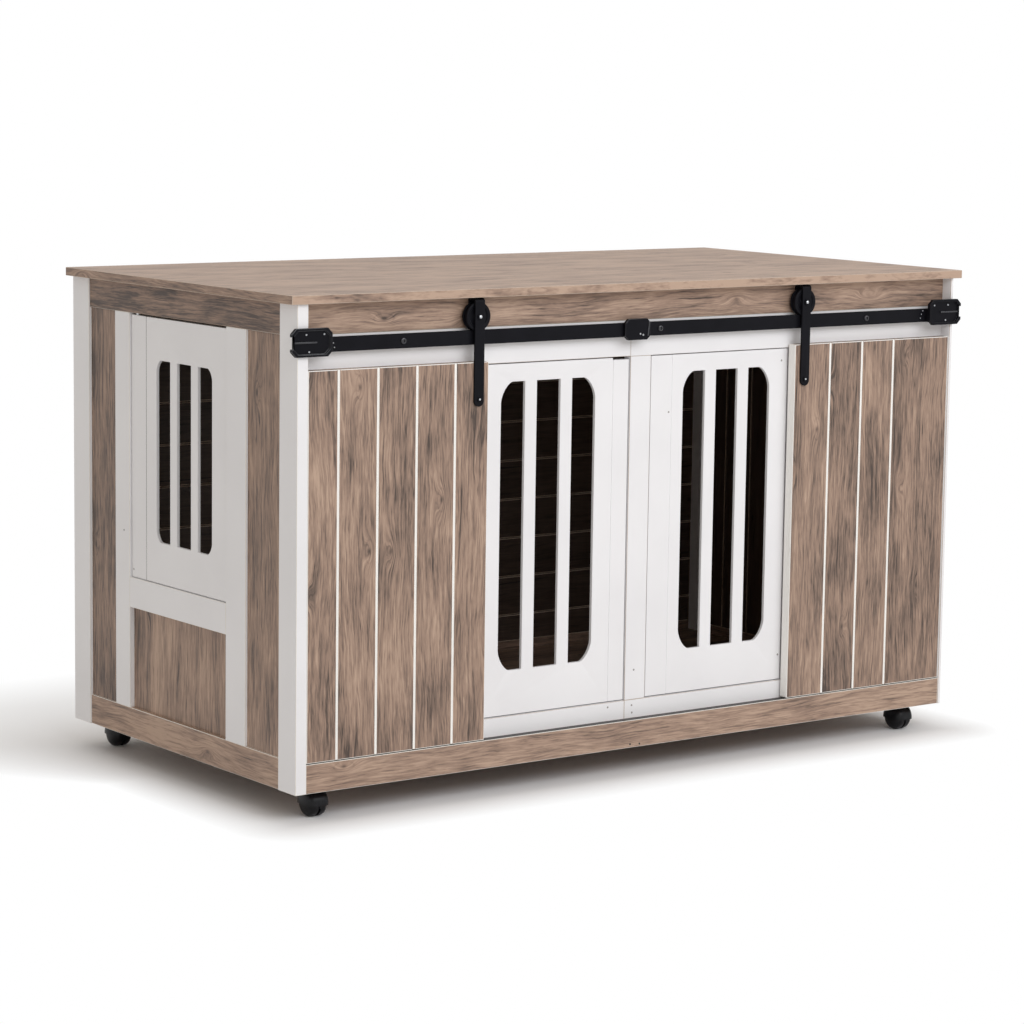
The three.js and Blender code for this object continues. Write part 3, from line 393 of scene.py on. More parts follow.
def grain_field(graph, u, v, depth):
    """The value whose level lines are the grain, pushed aside by knots, and the knots' dark cores."""
    field = wander(graph, u, v, depth, SLOW_WANDER, u)
    field = wander(graph, u, v, depth, QUICK_WANDER, field)
    off_u, off_v, pick = cell_marks(graph, u, v, KNOT_CELL_ACROSS, KNOT_CELL_ALONG)
    present = graph.math("LESS_THAN", pick[0], KNOT_SHARE)
    around = bell(graph, off_u, off_v, KNOT_HALF_WIDTH, KNOT_HALF_LENGTH)
    around = graph.math("MULTIPLY", around, present)
    right = graph.math("GREATER_THAN", pick[1], 0.5)
    side = graph.math("SUBTRACT", graph.math("MULTIPLY", right, 2.0), 1.0)
    swell = graph.math("MULTIPLY", graph.math("MULTIPLY", around, side), KNOT_PUSH)
    field = graph.math("ADD", field, swell)
    smallest, growth = KNOT_SIZE_RANGE
    size = graph.math("MULTIPLY_ADD", pick[2], growth, smallest)
    core_width = CORE_WIDTH_SHARE * KNOT_HALF_WIDTH
    core = bell(graph, off_u, off_v, core_width, CORE_LENGTH_SHARE * KNOT_HALF_LENGTH)
    core = graph.math("MULTIPLY", graph.math("MULTIPLY", core, present), size)
    off_rim = graph.math("ABSOLUTE", graph.math("SUBTRACT", around, RIM_PLACE))
    rim = graph.math("SUBTRACT", 1.0, graph.spread(off_rim, 0.0, RIM_WIDTH))
    core = graph.math("MULTIPLY_ADD", graph.math("MULTIPLY", rim, size), RIM_DARK, core)
    return field, core


def cracks(graph, field, v, seed):
    """Long dark checks along the grain, thin and tapered at both ends."""
    moved = graph.math("ADD", field, seed)
    off_u, off_v, pick = cell_marks(graph, moved, v, CRACK_CELL_ACROSS, CRACK_CELL_ALONG)
    present = graph.math("LESS_THAN", pick[0], CRACK_SHARE)
    length = graph.math("MULTIPLY_ADD", pick[1], CRACK_HALF_LENGTH, CRACK_SHORTEST * CRACK_HALF_LENGTH)
    reach = graph.math("POWER", graph.math("DIVIDE", off_v, length), 2.0)
    taper = graph.math("SUBTRACT", 1.0, reach, clamp=True)
    width = graph.math("MULTIPLY_ADD", taper, CRACK_WIDTH, CRACK_TIP_WIDTH)
    share = graph.math("DIVIDE", graph.math("ABSOLUTE", off_u), width)
    line = graph.math("SUBTRACT", 1.0, share, clamp=True)
    return graph.math("MULTIPLY", graph.math("SQRT", line), graph.math("MULTIPLY", present, taper))


SPECK_WAVES = 260.0
SPECK_RANGE = (0.35, 0.70)
SPECK_SHADE = 0.80
ARRIS_ROUGH = 0.6


def worn_arris(name, colour):
    """Worn edge of a board, where the film ends and the core shows."""
    graph = Graph(bpy.data.materials.new(name))
    speck = graph.solid_noise(graph.place(), SPECK_WAVES, FINE_DETAIL)
    tint = graph.mix(graph.spread(speck, *SPECK_RANGE), colour, scaled(colour, SPECK_SHADE))
    return graph.surface(Base_Color=tint, Roughness=ARRIS_ROUGH)


# ---------------------------------------------------------------- paint, steel, nylon and zinc

PAINT_PRINT_WAVES = 7.0
PAINT_PRINT_RANGE = (0.38, 0.70)
PAINT_FILM_WAVES = 1100.0
PAINT_ROUGH = (0.40, 0.52)
PAINT_BUMP = (0.10, 0.05 * MM)
PEEL_WAVES = 620.0
COAT_WAVES = 30.0
COAT_LIGHTER = 1.9
COAT_ROUGH = (0.30, 0.44)
COAT_BUMP = (0.16, 0.10 * MM)
COAT_GLOSS = 0.07
# Patches on the rims: smoother, and lighter as painted highlight
WEAR_AND_SHEEN_WAVES = 240.0
SHEEN_RANGE = (0.4, 0.7)
SHEEN_LIGHTER = 2.0
WEAR_ROUGH = (0.18, 0.30)
WEAR_GLOSS = 0.6
SCUFF_WAVES = 180.0
SCUFF_RANGE = (0.5, 0.8)
SCUFF_LIGHTER = 2.4
NYLON_ROUGH = (0.24, 0.39)
NYLON_BUMP = (0.08, 0.05 * MM)
NYLON_GLOSS = 0.22
PLATING_WAVES = 900.0
PLATING_SHADE = 0.82
ZINC_ROUGH = (0.22, 0.42)


def paint(name, colour=PAINT_WHITE, shade=PAINT_SHADE):
    """Satin lacquer film with a faint print of the board under it."""
    graph = Graph(bpy.data.materials.new(name))
    axes = graph.place()
    printed = graph.solid_noise(axes, PAINT_PRINT_WAVES, BROAD_DETAIL)
    film = graph.solid_noise(axes, PAINT_FILM_WAVES, FINE_DETAIL)
    tint = graph.mix(graph.spread(printed, *PAINT_PRINT_RANGE), colour, shade)
    normal = graph.bump(film, *PAINT_BUMP)
    return graph.surface(Base_Color=tint, Roughness=graph.rough(film, PAINT_ROUGH), Normal=normal)


def powder_coat(name):
    """Black coat with the fine orange peel of baked powder."""
    graph = Graph(bpy.data.materials.new(name))
    axes = graph.place()
    peel = graph.solid_noise(axes, PEEL_WAVES, FINE_DETAIL)
    broad = graph.solid_noise(axes, COAT_WAVES, BROAD_DETAIL)
    return graph.surface(
        Base_Color=graph.mix(broad, STEEL_BLACK, scaled(STEEL_BLACK, COAT_LIGHTER)),
        Roughness=graph.rough(broad, COAT_ROUGH),
        Normal=graph.bump(peel, *COAT_BUMP),
        Specular_IOR_Level=COAT_GLOSS,
    )


def steel_with_painted_highlight(name):
    """The same coat on rims and screw heads, smoother and a little lighter: the lighter colour is painted
    highlight, stronger in patches.
    """
    graph = Graph(bpy.data.materials.new(name))
    wear_and_sheen = graph.solid_noise(graph.place(), WEAR_AND_SHEEN_WAVES, BROAD_DETAIL)
    tint = graph.mix(graph.spread(wear_and_sheen, *SHEEN_RANGE), STEEL_RIM_HIGHLIGHT, scaled(STEEL_RIM_HIGHLIGHT, SHEEN_LIGHTER))
    rough = graph.rough(wear_and_sheen, WEAR_ROUGH)
    return graph.surface(Base_Color=tint, Roughness=rough, Specular_IOR_Level=WEAR_GLOSS)


def nylon(name):
    """Moulded black nylon, satin, with a faint scuff."""
    graph = Graph(bpy.data.materials.new(name))
    scuff = graph.solid_noise(graph.place(), SCUFF_WAVES, SCUFF_DETAIL)
    lighter = scaled(NYLON_BLACK, SCUFF_LIGHTER)
    return graph.surface(
        Base_Color=graph.mix(graph.spread(scuff, *SCUFF_RANGE), NYLON_BLACK, lighter),
        Roughness=graph.rough(scuff, NYLON_ROUGH),
        Normal=graph.bump(scuff, *NYLON_BUMP),
        Specular_IOR_Level=NYLON_GLOSS,
    )


def zinc(name):
    """Bright zinc plate with a fine turned grain."""
    graph = Graph(bpy.data.materials.new(name))
    grain = graph.solid_noise(graph.place(), PLATING_WAVES, FINE_DETAIL)
    tint = graph.mix(grain, ZINC_GREY, scaled(ZINC_GREY, PLATING_SHADE))
    return graph.surface(Base_Color=tint, Roughness=graph.rough(grain, ZINC_ROUGH), Metallic=1.0)


WHITE = paint("white_paint")
CREAM_PAINT = paint("groove_cream", CREAM, scaled(CREAM, CREAM_PRINT))
GROOVE_PAINT = paint("door_groove_cream", GROOVE_CREAM, scaled(GROOVE_CREAM, GROOVE_PRINT))
SEAM = paint("board_seam", SEAM_TAN, scaled(SEAM_TAN, SEAM_PRINT))
ARRIS = worn_arris("oak_arris", ARRIS_TAN)
STEEL = powder_coat("black_steel")
RIM_STEEL_HIGHLIGHT = steel_with_painted_highlight("black_steel_rims_painted_highlight")
NYLON = nylon("black_nylon")
ZINC = zinc("zinc")
# Near-black paint put where there is only shade: painted shade on the bottom rail's top, in two dowel
# holes and along the side gate strip's seam
GAP_SHADE = paint("painted_gap_shade", GAP_SHADE_BLACK, scaled(GAP_SHADE_BLACK, GAP_SHADE_PRINT))
MARK = paint("screw_mark", MARK_GREY, scaled(MARK_GREY, MARK_PRINT))


# ---------------------------------------------------------------- meshes


def welded(node):
    """A CAD node's mesh as a bmesh, with shared corners welded and flat faces whole."""
    mesh = bmesh.new()
    mesh.from_mesh(nodes[node].data)
    bmesh.ops.remove_doubles(mesh, verts=mesh.verts, dist=WELD_DISTANCE)
    bmesh.ops.dissolve_limit(mesh, angle_limit=FLAT_ANGLE, verts=mesh.verts, edges=mesh.edges)
    return mesh


def soften(mesh, width, material=0):
    """Bevels every sharp corner of the mesh; the new faces take the given material index."""
    corners = [e for e in mesh.edges if e.is_manifold and e.calc_face_angle() > CORNER_ANGLE]
    bmesh.ops.bevel(
        mesh,
        geom=corners,
        offset=width,
        segments=BEVEL_STEPS,
        profile=0.5,
        affect="EDGES",
        clamp_overlap=True,
        material=material,
    )


def piece(name, mesh, materials, smooth_angle=SMOOTH_ANGLE):
    """A new object from a bmesh, smooth except at corners sharper than smooth_angle."""
    data = bpy.data.meshes.new(name)
    for material in materials:
        data.materials.append(material)
    for face in mesh.faces:
        face.smooth = True
    mesh.to_mesh(data)
    mesh.free()
    data.set_sharp_from_angle(angle=smooth_angle)
    made = bpy.data.objects.new(name, data)
    bpy.context.scene.collection.objects.link(made)
    return made


def dress(node, slot, materials, width, rule=None):
    """A bevelled copy of a CAD node that stands for it. rule(face) may pick a face's material."""
    mesh = welded(node)
    soften(mesh, width, material=len(materials) - 1 if rule is None else 0)
    if rule:
        for face in mesh.faces:
            face.material_index = rule(face)
    made = piece(f"{node}_dressed", mesh, materials)
    return settle(made, slot, node)


def settle(made, slot, *stood_for, body=None):
    """Puts a piece on the body of the node that it stands for and hides those nodes; slot is not used."""
    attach(made, body or nodes[stood_for[0]]["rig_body"])
    if stood_for:
        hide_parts(*stood_for)
    return made


def placed(axis, along, radius, angle):
    """The point at a radius and angle about an axis through the origin, some way along it."""
    a = radius * math.cos(angle)
    b = radius * math.sin(angle)
    return {"x": (along, a, b), "y": (a, along, b), "z": (a, b, along)}[axis]


def turn(mesh, profile, axis, centre, steps=TURN_STEPS, flats=None, start=0.0, sweep=2 * math.pi):
    """Adds a turned solid. profile is (radius, along) pairs; flats gives the rings that are hexagons."""
    closed = sweep >= 2 * math.pi
    count = steps if closed else steps + 1
    middle = Vector(centre)
    rings = []
    for index, (radius, along) in enumerate(profile):
        if radius == 0:
            point = mesh.verts.new(Vector(placed(axis, along, 0, 0)) + middle)
            rings.append([point] * count)
            continue
        ring = []
        for step in range(count):
            angle = start + sweep * step / steps
            reach = radius
            if flats and index in flats:
                reach = radius / math.cos((angle % (math.pi / 3)) - math.pi / 6)
            ring.append(mesh.verts.new(Vector(placed(axis, along, reach, angle)) + middle))
        rings.append(ring)
    for low, high in zip(rings, rings[1:]):
        for step in range(count if closed else count - 1):
            after = (step + 1) % count
            corners = [low[step], low[after], high[after], high[step]]
            unique = list(dict.fromkeys(corners))
            if len(unique) > 2:
                mesh.faces.new(unique)
    if not closed:
        for step in (0, count - 1):
            loop = list(dict.fromkeys(ring[step] for ring in rings))
            if len(loop) > 2:
                mesh.faces.new(loop)
    return mesh


def mend_normals(mesh):
    bmesh.ops.remove_doubles(mesh, verts=mesh.verts, dist=WELD_DISTANCE)
    bmesh.ops.recalc_face_normals(mesh, faces=mesh.faces)
    return mesh


def plate(outline, front, back, width):
    """A plate with this outline in X and Z, from Y front to back, its corners bevelled."""
    part = bmesh.new()
    near = [part.verts.new((x, front, z)) for x, z in outline]
    far = [part.verts.new((x, back, z)) for x, z in outline]
    part.faces.new(near)
    part.faces.new(list(reversed(far)))
    count = len(outline)
    for i in range(count):
        j = (i + 1) % count
        part.faces.new([near[j], near[i], far[i], far[j]])
    bmesh.ops.recalc_face_normals(part, faces=part.faces)
    soften(part, width)
    return part


def merge(mesh, part):
    """Adds the faces of part to mesh."""
    data = bpy.data.meshes.new("part")
    part.to_mesh(data)
    part.free()
    mesh.from_mesh(data)
    bpy.data.meshes.remove(data)


# Small heads, from the buried end outwards, in shares of the head's radius and of its height
SCREW_PROFILE = [
    (0, 0.3),
    (1, 0.3),
    (1, -0.35),
    (0.86, -0.78),
    (0.62, -1),
    (0.42, -1),
    (0.38, -0.35),
    (0, -0.30),
]
SOCKET_RINGS = {5, 6}
RIVET_PROFILE = [(0, 0.3), (1, 0.3), (1, -0.3), (0.75, -0.8), (0.35, -1), (0, -1)]
PLUG_PROFILE = [(0, 1.2), (1, 1.2), (1, -0.4), (0.8, -1), (0.5, -0.6), (0, 0)]


def head(mesh, shares, place, radius, height, axis="y", flats=None):
    """Adds a small turned head at a place on a face that looks down the axis."""
    profile = [(radius * across, height * along) for across, along in shares]
    part = turn(bmesh.new(), profile, axis, place, SCREW_STEPS, flats)
    merge(mesh, mend_normals(part))


def screw(mesh, place, radius, height):
    """Adds a domed screw head with a hexagon socket on a face that looks to the front."""
    head(mesh, SCREW_PROFILE, place, radius, height, flats=SOCKET_RINGS)


def rivet(mesh, place, radius, height):
    """Adds a low round rivet on a face that looks to the front."""
    head(mesh, RIVET_PROFILE, place, radius, height)


# ---------------------------------------------------------------- boards

PLANK_WIDTH = 0.063
X_AXIS, Y_AXIS, Z_AXIS = 0, 1, 2

# Wood boards: grain axis, axis across it, seed, tone added, and whether the arris is cream
PLAIN_BOARDS = {
    "front_frieze": (X_AXIS, Z_AXIS, 11.0, 0.10, False),
    "back_top_rail": (X_AXIS, Z_AXIS, 13.0, 0.0, False),
    "back_bottom_rail": (X_AXIS, Z_AXIS, 14.0, 0.0, False),
    # The floor panel's lowered tone is painted shade: it lies in the dark inside the crate
    "floor_panel": (X_AXIS, Y_AXIS, 15.0, -0.20, False),
    "left_top_rail": (Y_AXIS, Z_AXIS, 46.0, -0.40, False),
    "left_bottom_rail": (Y_AXIS, Z_AXIS, 17.0, 0.01, True),
    "left_front_strip": (Z_AXIS, Y_AXIS, 18.0, -0.16, True),
    "left_back_strip": (Z_AXIS, Y_AXIS, 19.0, -0.38, True),
    "left_lower_panel": (Z_AXIS, Y_AXIS, 20.0, -0.07, False),
    "left_infill": (Z_AXIS, X_AXIS, 21.0, 0.0, False),
    "right_infill": (Z_AXIS, X_AXIS, 22.0, 0.0, False),
    "right_top_rail": (Y_AXIS, Z_AXIS, 23.0, -0.02, False),
    "right_bottom_rail": (Y_AXIS, Z_AXIS, 24.0, -0.02, False),
}

# Plank boards: grain axis, axis across it, seed, first plank's width, tone added
DOORS = {
    "left_barn_door": (Z_AXIS, X_AXIS, 31.0, 0.048, -0.05),
    "right_barn_door": (Z_AXIS, X_AXIS, 47.0, 0.069, -0.19),
}
PANELS = {
    "back_panel": (X_AXIS, Z_AXIS, 57.0, 0.042, 0.0),
    "right_side_panel": (Z_AXIS, Y_AXIS, 66.0, 0.022, 0.0),
}
GROOVE_STEP = 0.4 * MM
# Painted shade on the inner faces of the back and the right side, which lie in the dark: tone added,
# contrast, and the share that multiplies every colour
INNER_PAINTED_SHADE_TONE = -0.20
INNER_PAINTED_SHADE_CONTRAST = 0.5
INNER_PAINTED_SHADE = 0.34
TABLETOP = (3.0, 0.12, -0.12)
BOTTOM_RAIL = (12.0, 0.11)
# How far the painted shade reaches from the front end of the side gate strip
SHADE_SEAM_REACH = 1.7 * MM

TAN_EDGED_BOARDS = (
    "right_front_post",
    "right_back_post",
    "front_header_left",
    "front_header_right",
    "front_sill_left",
    "front_sill_right",
    "left_jamb",
    "right_jamb",
    "centre_mullion",
)
CREAM_EDGED_BOARDS = (
    "left_front_post",
    "left_back_post",
    "left_front_stile",
    "left_back_stile",
    "left_crosspiece",
)
GATE_BOARDS = ("left_gate", "right_gate", "side_gate")

# A face whose normal has more than this along an axis looks straight down that axis
FLAT = 0.95


def dress_plain_boards():
    for node, (along, across, seed, tone, cream) in PLAIN_BOARDS.items():
        wood = oak(f"oak_{node}", along, across, seed, tone=tone)
        dress(node, "wood_laminate", [wood, CREAM_PAINT if cream else ARRIS], BOARD_ARRIS)


def dress_tabletop():
    """Grain along the length on top and in front, along the depth on the two short edges."""
    seed, tone, edge_tone = TABLETOP
    wood = oak("oak_tabletop", X_AXIS, Y_AXIS, seed, tone=tone)
    edge = oak("oak_tabletop_edge", Y_AXIS, Z_AXIS, seed, tone=edge_tone)

    def rule(face):
        if abs(face.normal.x) > FLAT:
            return 1
        return 0 if max(abs(face.normal.y), abs(face.normal.z)) > FLAT else 2

    dress("tabletop", "wood_laminate", [wood, edge, ARRIS], BOARD_ARRIS, rule)


def dress_bottom_rail():
    """The rail's top lies in a deep gap under the doors and is painted nearly black, as painted shade."""
    seed, tone = BOTTOM_RAIL
    wood = oak("oak_front_bottom_rail", X_AXIS, Z_AXIS, seed, tone=tone)

    def rule(face):
        # The top face takes the near-black painted shade
        if face.normal.z > FLAT:
            return 2
        return 0 if max(abs(n) for n in face.normal) > FLAT else 1

    dress("front_bottom_rail", "wood_laminate", [wood, CREAM_PAINT, GAP_SHADE], BOARD_ARRIS, rule)


def plank_wood(node, along, across, seed, first, tone, name, contrast=1.0, shade=1.0):
    """Oak in planks: the first ends this far from the board's low edge, and the rest are equal."""
    planks = (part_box(node)[0][across] + first, PLANK_WIDTH)
    return oak(name, along, across, seed, planks, tone, contrast, shade)


def dress_doors():
    """Wood on the faces and the top edge; cream in the grooves and along the other edges."""
    for node, (along, across, seed, first, tone) in DOORS.items():
        wood = plank_wood(node, along, across, seed, first, tone, f"oak_{node}")
        in_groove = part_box(node)[0].y + GROOVE_STEP

        def rule(face, in_groove=in_groove):
            if face.normal.y < -FLAT and face.calc_center_median().y > in_groove:
                return 1
            return 0 if abs(face.normal.y) > FLAT or face.normal.z > FLAT else 1

        dress(node, "wood_laminate", [wood, GROOVE_PAINT], DOOR_ARRIS, rule)


def dress_panels():
    """The back and the right side: the inner face lies in the dark and is printed darker, as painted
    shade.
    """
    for node, (along, across, seed, first, tone) in PANELS.items():
        wood = plank_wood(node, along, across, seed, first, tone, f"oak_{node}")
        # The inner face's copy of the print, darker: painted shade
        painted_shade_wood = plank_wood(
            node, along, across, seed, first, INNER_PAINTED_SHADE_TONE, f"oak_{node}_inner", INNER_PAINTED_SHADE_CONTRAST, INNER_PAINTED_SHADE
        )
        thin = 3 - along - across

        def rule(face, thin=thin):
            out = face.normal[thin]
            if out < -FLAT:
                return 1
            return 0 if out > FLAT else 2

        dress(node, "wood_laminate", [wood, painted_shade_wood, ARRIS], BOARD_ARRIS, rule)


def dress_white_boards():
    for node in TAN_EDGED_BOARDS:
        dress(node, "white_paint", [WHITE, SEAM], BOARD_ARRIS)
    for node in CREAM_EDGED_BOARDS:
        dress(node, "white_paint", [WHITE, CREAM_PAINT], BOARD_ARRIS)
    for node in GATE_BOARDS:
        dress(node, "white_paint", [WHITE], GATE_ARRIS)
    # The strip's front end is painted near-black: painted shade in the gap between the strip and the side
    # gate
    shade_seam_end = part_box("side_gate_strip")[0].y + SHADE_SEAM_REACH

    def rule(face):
        return 1 if face.calc_center_median().y < shade_seam_end else 0

    dress("side_gate_strip", "white_paint", [WHITE, GAP_SHADE], METAL_ARRIS, rule)


# Screw marks: node they sit on, then places on its front face (X, Z) or its left face (Y, Z)
FRONT_MARKS = {
    "right_gate": [(0.2653, 0.5847), (0.2720, 0.1449), (0.0542, 0.5198)],
    "centre_mullion": [(-0.0018, 0.1498)],
    "front_sill_right": [(-0.0044, 0.0981), (-0.0038, 0.0872)],
    "front_sill_left": [(-0.0480, 0.0995)],
}
SIDE_MARKS = {"left_back_stile": [(0.161, 0.341)], "side_gate_strip": [(0.1385, 0.287)]}
# The bottom rail's dowel holes, drawn as near-black discs: painted shade
RAIL_HOLES = [(-0.0196, 0.0455), (-0.0025, 0.0445)]
MARK_RADIUS = 1.5 * MM
MARK_HEIGHT = 0.25 * MM


def add_plugs(name, node, places, axis, material, slot):
    """One piece with a small plug at each place on a face of a node."""
    mesh = bmesh.new()
    for place in places:
        head(mesh, PLUG_PROFILE, place, MARK_RADIUS, MARK_HEIGHT, axis)
    made = piece(name, mesh, [material], TURNED_SMOOTH_ANGLE)
    settle(made, slot, body=nodes[node]["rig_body"])


def add_marks():
    """Small plugs over the screws of the white boards, and two dowel holes in the bottom rail drawn as
    near-black discs of painted shade.
    """
    for node, places in FRONT_MARKS.items():
        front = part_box(node)[0].y
        places = [(x, front, z) for x, z in places]
        add_plugs(f"{node}_marks", node, places, "y", MARK, "white_paint")
    for node, places in SIDE_MARKS.items():
        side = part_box(node)[0].x
        places = [(side, y, z) for y, z in places]
        add_plugs(f"{node}_marks", node, places, "x", MARK, "white_paint")
    node = "front_bottom_rail"
    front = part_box(node)[0].y
    places = [(x, front, z) for x, z in RAIL_HOLES]
    add_plugs(f"{node}_holes", node, places, "y", GAP_SHADE, "wood_laminate")


# ---------------------------------------------------------------- track hardware

RAIL_SCREW_PLACES = {"rail_left": [-0.417], "rail_right": [0.024, 0.417]}
RAIL_SCREW_RADIUS = 4.6 * MM
RAIL_SCREW_HEIGHT = 2.4 * MM


def dress_rails():
    for node, places in RAIL_SCREW_PLACES.items():
        dress(node, "black_steel", [STEEL], METAL_ARRIS)
        low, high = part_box(node)
        middle = (low.z + high.z) / 2
        mesh = bmesh.new()
        for x in places:
            screw(mesh, (x, low.y, middle), RAIL_SCREW_RADIUS, RAIL_SCREW_HEIGHT)
        made = piece(f"{node}_screws", mesh, [RIM_STEEL_HIGHLIGHT], TURNED_SMOOTH_ANGLE)
        settle(made, "black_steel", body=nodes[node]["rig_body"])


# Roller's face in mm, from the bore out: (distance from the axis, depth under the face), and
# then (distance inside the rim, depth under the face)
HUB_PROFILE = [(3.3, 0.0), (6.4, 0.0), (7.0, 0.4), (8.0, 1.6)]
RIM_PROFILE = [(6.0, 1.6), (4.9, 0.3), (4.4, 0.0), (0.9, 0.0), (0.25, 0.3), (0.0, 1.0)]
TREAD_DEPTH = 1.8 * MM
GROOVE_HALF = 2.6 * MM
GROOVE_SLOPE = 0.2 * MM


def roller_profile(radius, half):
    """Rim, tread groove, dished faces and hub of the roller, as (radius, along) pairs."""
    face = [(out * MM, half - sunk * MM) for out, sunk in HUB_PROFILE]
    face += [(radius - inset * MM, half - sunk * MM) for inset, sunk in RIM_PROFILE]
    face.append((radius, GROOVE_HALF + GROOVE_SLOPE))
    face.append((radius - TREAD_DEPTH, GROOVE_HALF - GROOVE_SLOPE))
    return face + [(r, -y) for r, y in reversed(face)] + [face[0]]


def dress_rollers():
    for label in ("left", "right"):
        node = f"{label}_roller"
        low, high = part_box(node)
        centre = (low + high) / 2
        profile = roller_profile((high.x - low.x) / 2, (high.y - low.y) / 2)
        mesh = turn(bmesh.new(), profile, "y", centre)
        made = piece(f"{node}_turned", mend_normals(mesh), [STEEL], TURNED_SMOOTH_ANGLE)
        settle(made, "black_steel", node)


CAP_HEIGHT = 1.0 * MM
AXLE_CAP_RADIUS = 2.3 * MM
BOLT_CAP_RADIUS = 1.5 * MM
BOLT_UP = 10.0 * MM


def dress_hangers():
    """Each strap with the cap of the roller's axle and the cap of the bolt in its lower end."""
    for label in ("left", "right"):
        node = f"{label}_hanger"
        made = dress(node, "black_steel", [STEEL], METAL_ARRIS)
        low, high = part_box(node)
        roller_low, roller_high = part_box(f"{label}_roller")
        x = (low.x + high.x) / 2
        mesh = bmesh.new()
        axle = (x, low.y, (roller_low.z + roller_high.z) / 2)
        rivet(mesh, axle, AXLE_CAP_RADIUS, CAP_HEIGHT)
        rivet(mesh, (x, low.y, low.z + BOLT_UP), BOLT_CAP_RADIUS, CAP_HEIGHT)
        caps = piece(f"{label}_hanger_bolts", mesh, [ZINC], TURNED_SMOOTH_ANGLE)
        settle(caps, "zinc", body=made["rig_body"])


# Distances from the stop's outer end and bottom
STOP_SCREWS = [(0.0240, 0.0295), (0.0520, 0.0295), (0.0285, 0.0065)]
STOP_RIVETS = [(0.0688, 0.0214), (0.0713, 0.0163), (0.0730, 0.0105)]
STOP_SCREW_RADIUS = 1.5 * MM
STOP_RIVET_RADIUS = 0.9 * MM
STOP_SMALL_HEIGHT = 1.2 * MM
STOP_FLOOR = 3.4 * MM
STOP_RIDGE_ENDS = (0.0050, 0.0400)
STOP_RIDGE_RANGE = (0.0178, 0.0202)
STOP_RIDGE_RISE = 2.2 * MM

# Places in X and Z, and the lip's corners as distances from the bracket's right end and bottom
BRACKET_SCREWS = [(-0.0162, 0.6366), (-0.0110, 0.6350)]
BRACKET_SCREW_RADIUS = 1.5 * MM
BRACKET_LIP_RISE = 1.1 * MM
BRACKET_LIP = [(0.0065, 0.0050), (0.0040, 0.0050), (0.0016, 0.0260), (0.0041, 0.0260)]


def dress_stops():
    """Stops with a ridge in their pocket, zinc screws, and rivets on the rail beside them."""
    rail_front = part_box("rail_left")[0].y
    for side, label in ((-1, "left"), (1, "right")):
        node = f"{label}_end_stop"
        made = dress(node, "black_steel", [STEEL, RIM_STEEL_HIGHLIGHT], STOP_ARRIS)
        low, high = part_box(node)
        outer = low.x if side < 0 else high.x
        floor = low.y + STOP_FLOOR
        body = made["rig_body"]
        x0, x1 = sorted(outer - side * end for end in STOP_RIDGE_ENDS)
        z0, z1 = (low.z + z for z in STOP_RIDGE_RANGE)
        outline = [(x0, z0), (x1, z0), (x1, z1), (x0, z1)]
        ridge = plate(outline, floor - STOP_RIDGE_RISE, floor + BURIED, METAL_ARRIS)
        settle(piece(f"{node}_ridge", ridge, [RIM_STEEL_HIGHLIGHT]), "black_steel", body=body)
        small = bmesh.new()
        for along, up in STOP_SCREWS:
            place = (outer - side * along, floor, low.z + up)
            screw(small, place, STOP_SCREW_RADIUS, STOP_SMALL_HEIGHT)
        settle(piece(f"{node}_screws", small, [ZINC], TURNED_SMOOTH_ANGLE), "zinc", body=body)
        small = bmesh.new()
        for along, up in STOP_RIVETS:
            place = (outer - side * along, rail_front, low.z + up)
            rivet(small, place, STOP_RIVET_RADIUS, STOP_SMALL_HEIGHT)
        settle(piece(f"{node}_rivets", small, [ZINC], TURNED_SMOOTH_ANGLE), "zinc", body=body)


def dress_bracket():
    """The bracket's plate, a raised lip on its right end and two zinc screws under its middle."""
    made = dress("centre_bracket", "black_steel", [STEEL, RIM_STEEL_HIGHLIGHT], STOP_ARRIS)
    low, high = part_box("centre_bracket")
    body = made["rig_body"]
    outline = [(high.x - inset, low.z + up) for inset, up in BRACKET_LIP]
    lip = plate(outline, low.y - BRACKET_LIP_RISE, low.y + BURIED, METAL_ARRIS)
    settle(piece("centre_bracket_lip", lip, [RIM_STEEL_HIGHLIGHT]), "black_steel", body=body)
    small = bmesh.new()
    for x, z in BRACKET_SCREWS:
        screw(small, (x, low.y, z), BRACKET_SCREW_RADIUS, STOP_SMALL_HEIGHT)
    settle(piece("centre_bracket_screws", small, [ZINC], TURNED_SMOOTH_ANGLE), "zinc", body=body)


def dress_pins():
    for node in nodes:
        if node.endswith("_pin"):
            dress(node, "zinc", [ZINC], METAL_ARRIS)


# ---------------------------------------------------------------- casters

HOOD_GAP = 0.8 * MM
HOOD_WALL = 1.2 * MM
HOOD_SKIRT = 2.0 * MM
TREAD_HALF = 6.0 * MM
WHEEL_SLOT_HALF = 1.8 * MM
WEB_HALF = 1.2 * MM
WEB_SKIRT = 6.0 * MM
CASTER_AXLE = 3.0 * MM
AXLE_CLEARANCE = 0.3 * MM
CASTER_TRAIL = 10.0 * MM
SHOULDER_STEPS = 14
SHOULDER_ROUNDNESS = 2.4
COLLAR_RADIUS = 8.0 * MM
COLLAR_FOOT = 15.0 * MM
COLLAR_CHAMFER = 0.5 * MM
STEM_RADIUS = 4.0 * MM
CARCASS_BOTTOM = 40.2 * MM


def drum(radius, half):
    """Right half of a rounded drum, from the edge of its tread to the axis."""
    points = []
    for i in range(SHOULDER_STEPS + 1):
        angle = (math.pi / 2) * (1 - i / SHOULDER_STEPS)
        out = radius * math.sin(angle) ** (2 / SHOULDER_ROUNDNESS) if i < SHOULDER_STEPS else 0.0
        along = math.cos(angle) ** (2 / SHOULDER_ROUNDNESS) if i else 0.0
        points.append((out, TREAD_HALF + (half - TREAD_HALF) * along))
    return points


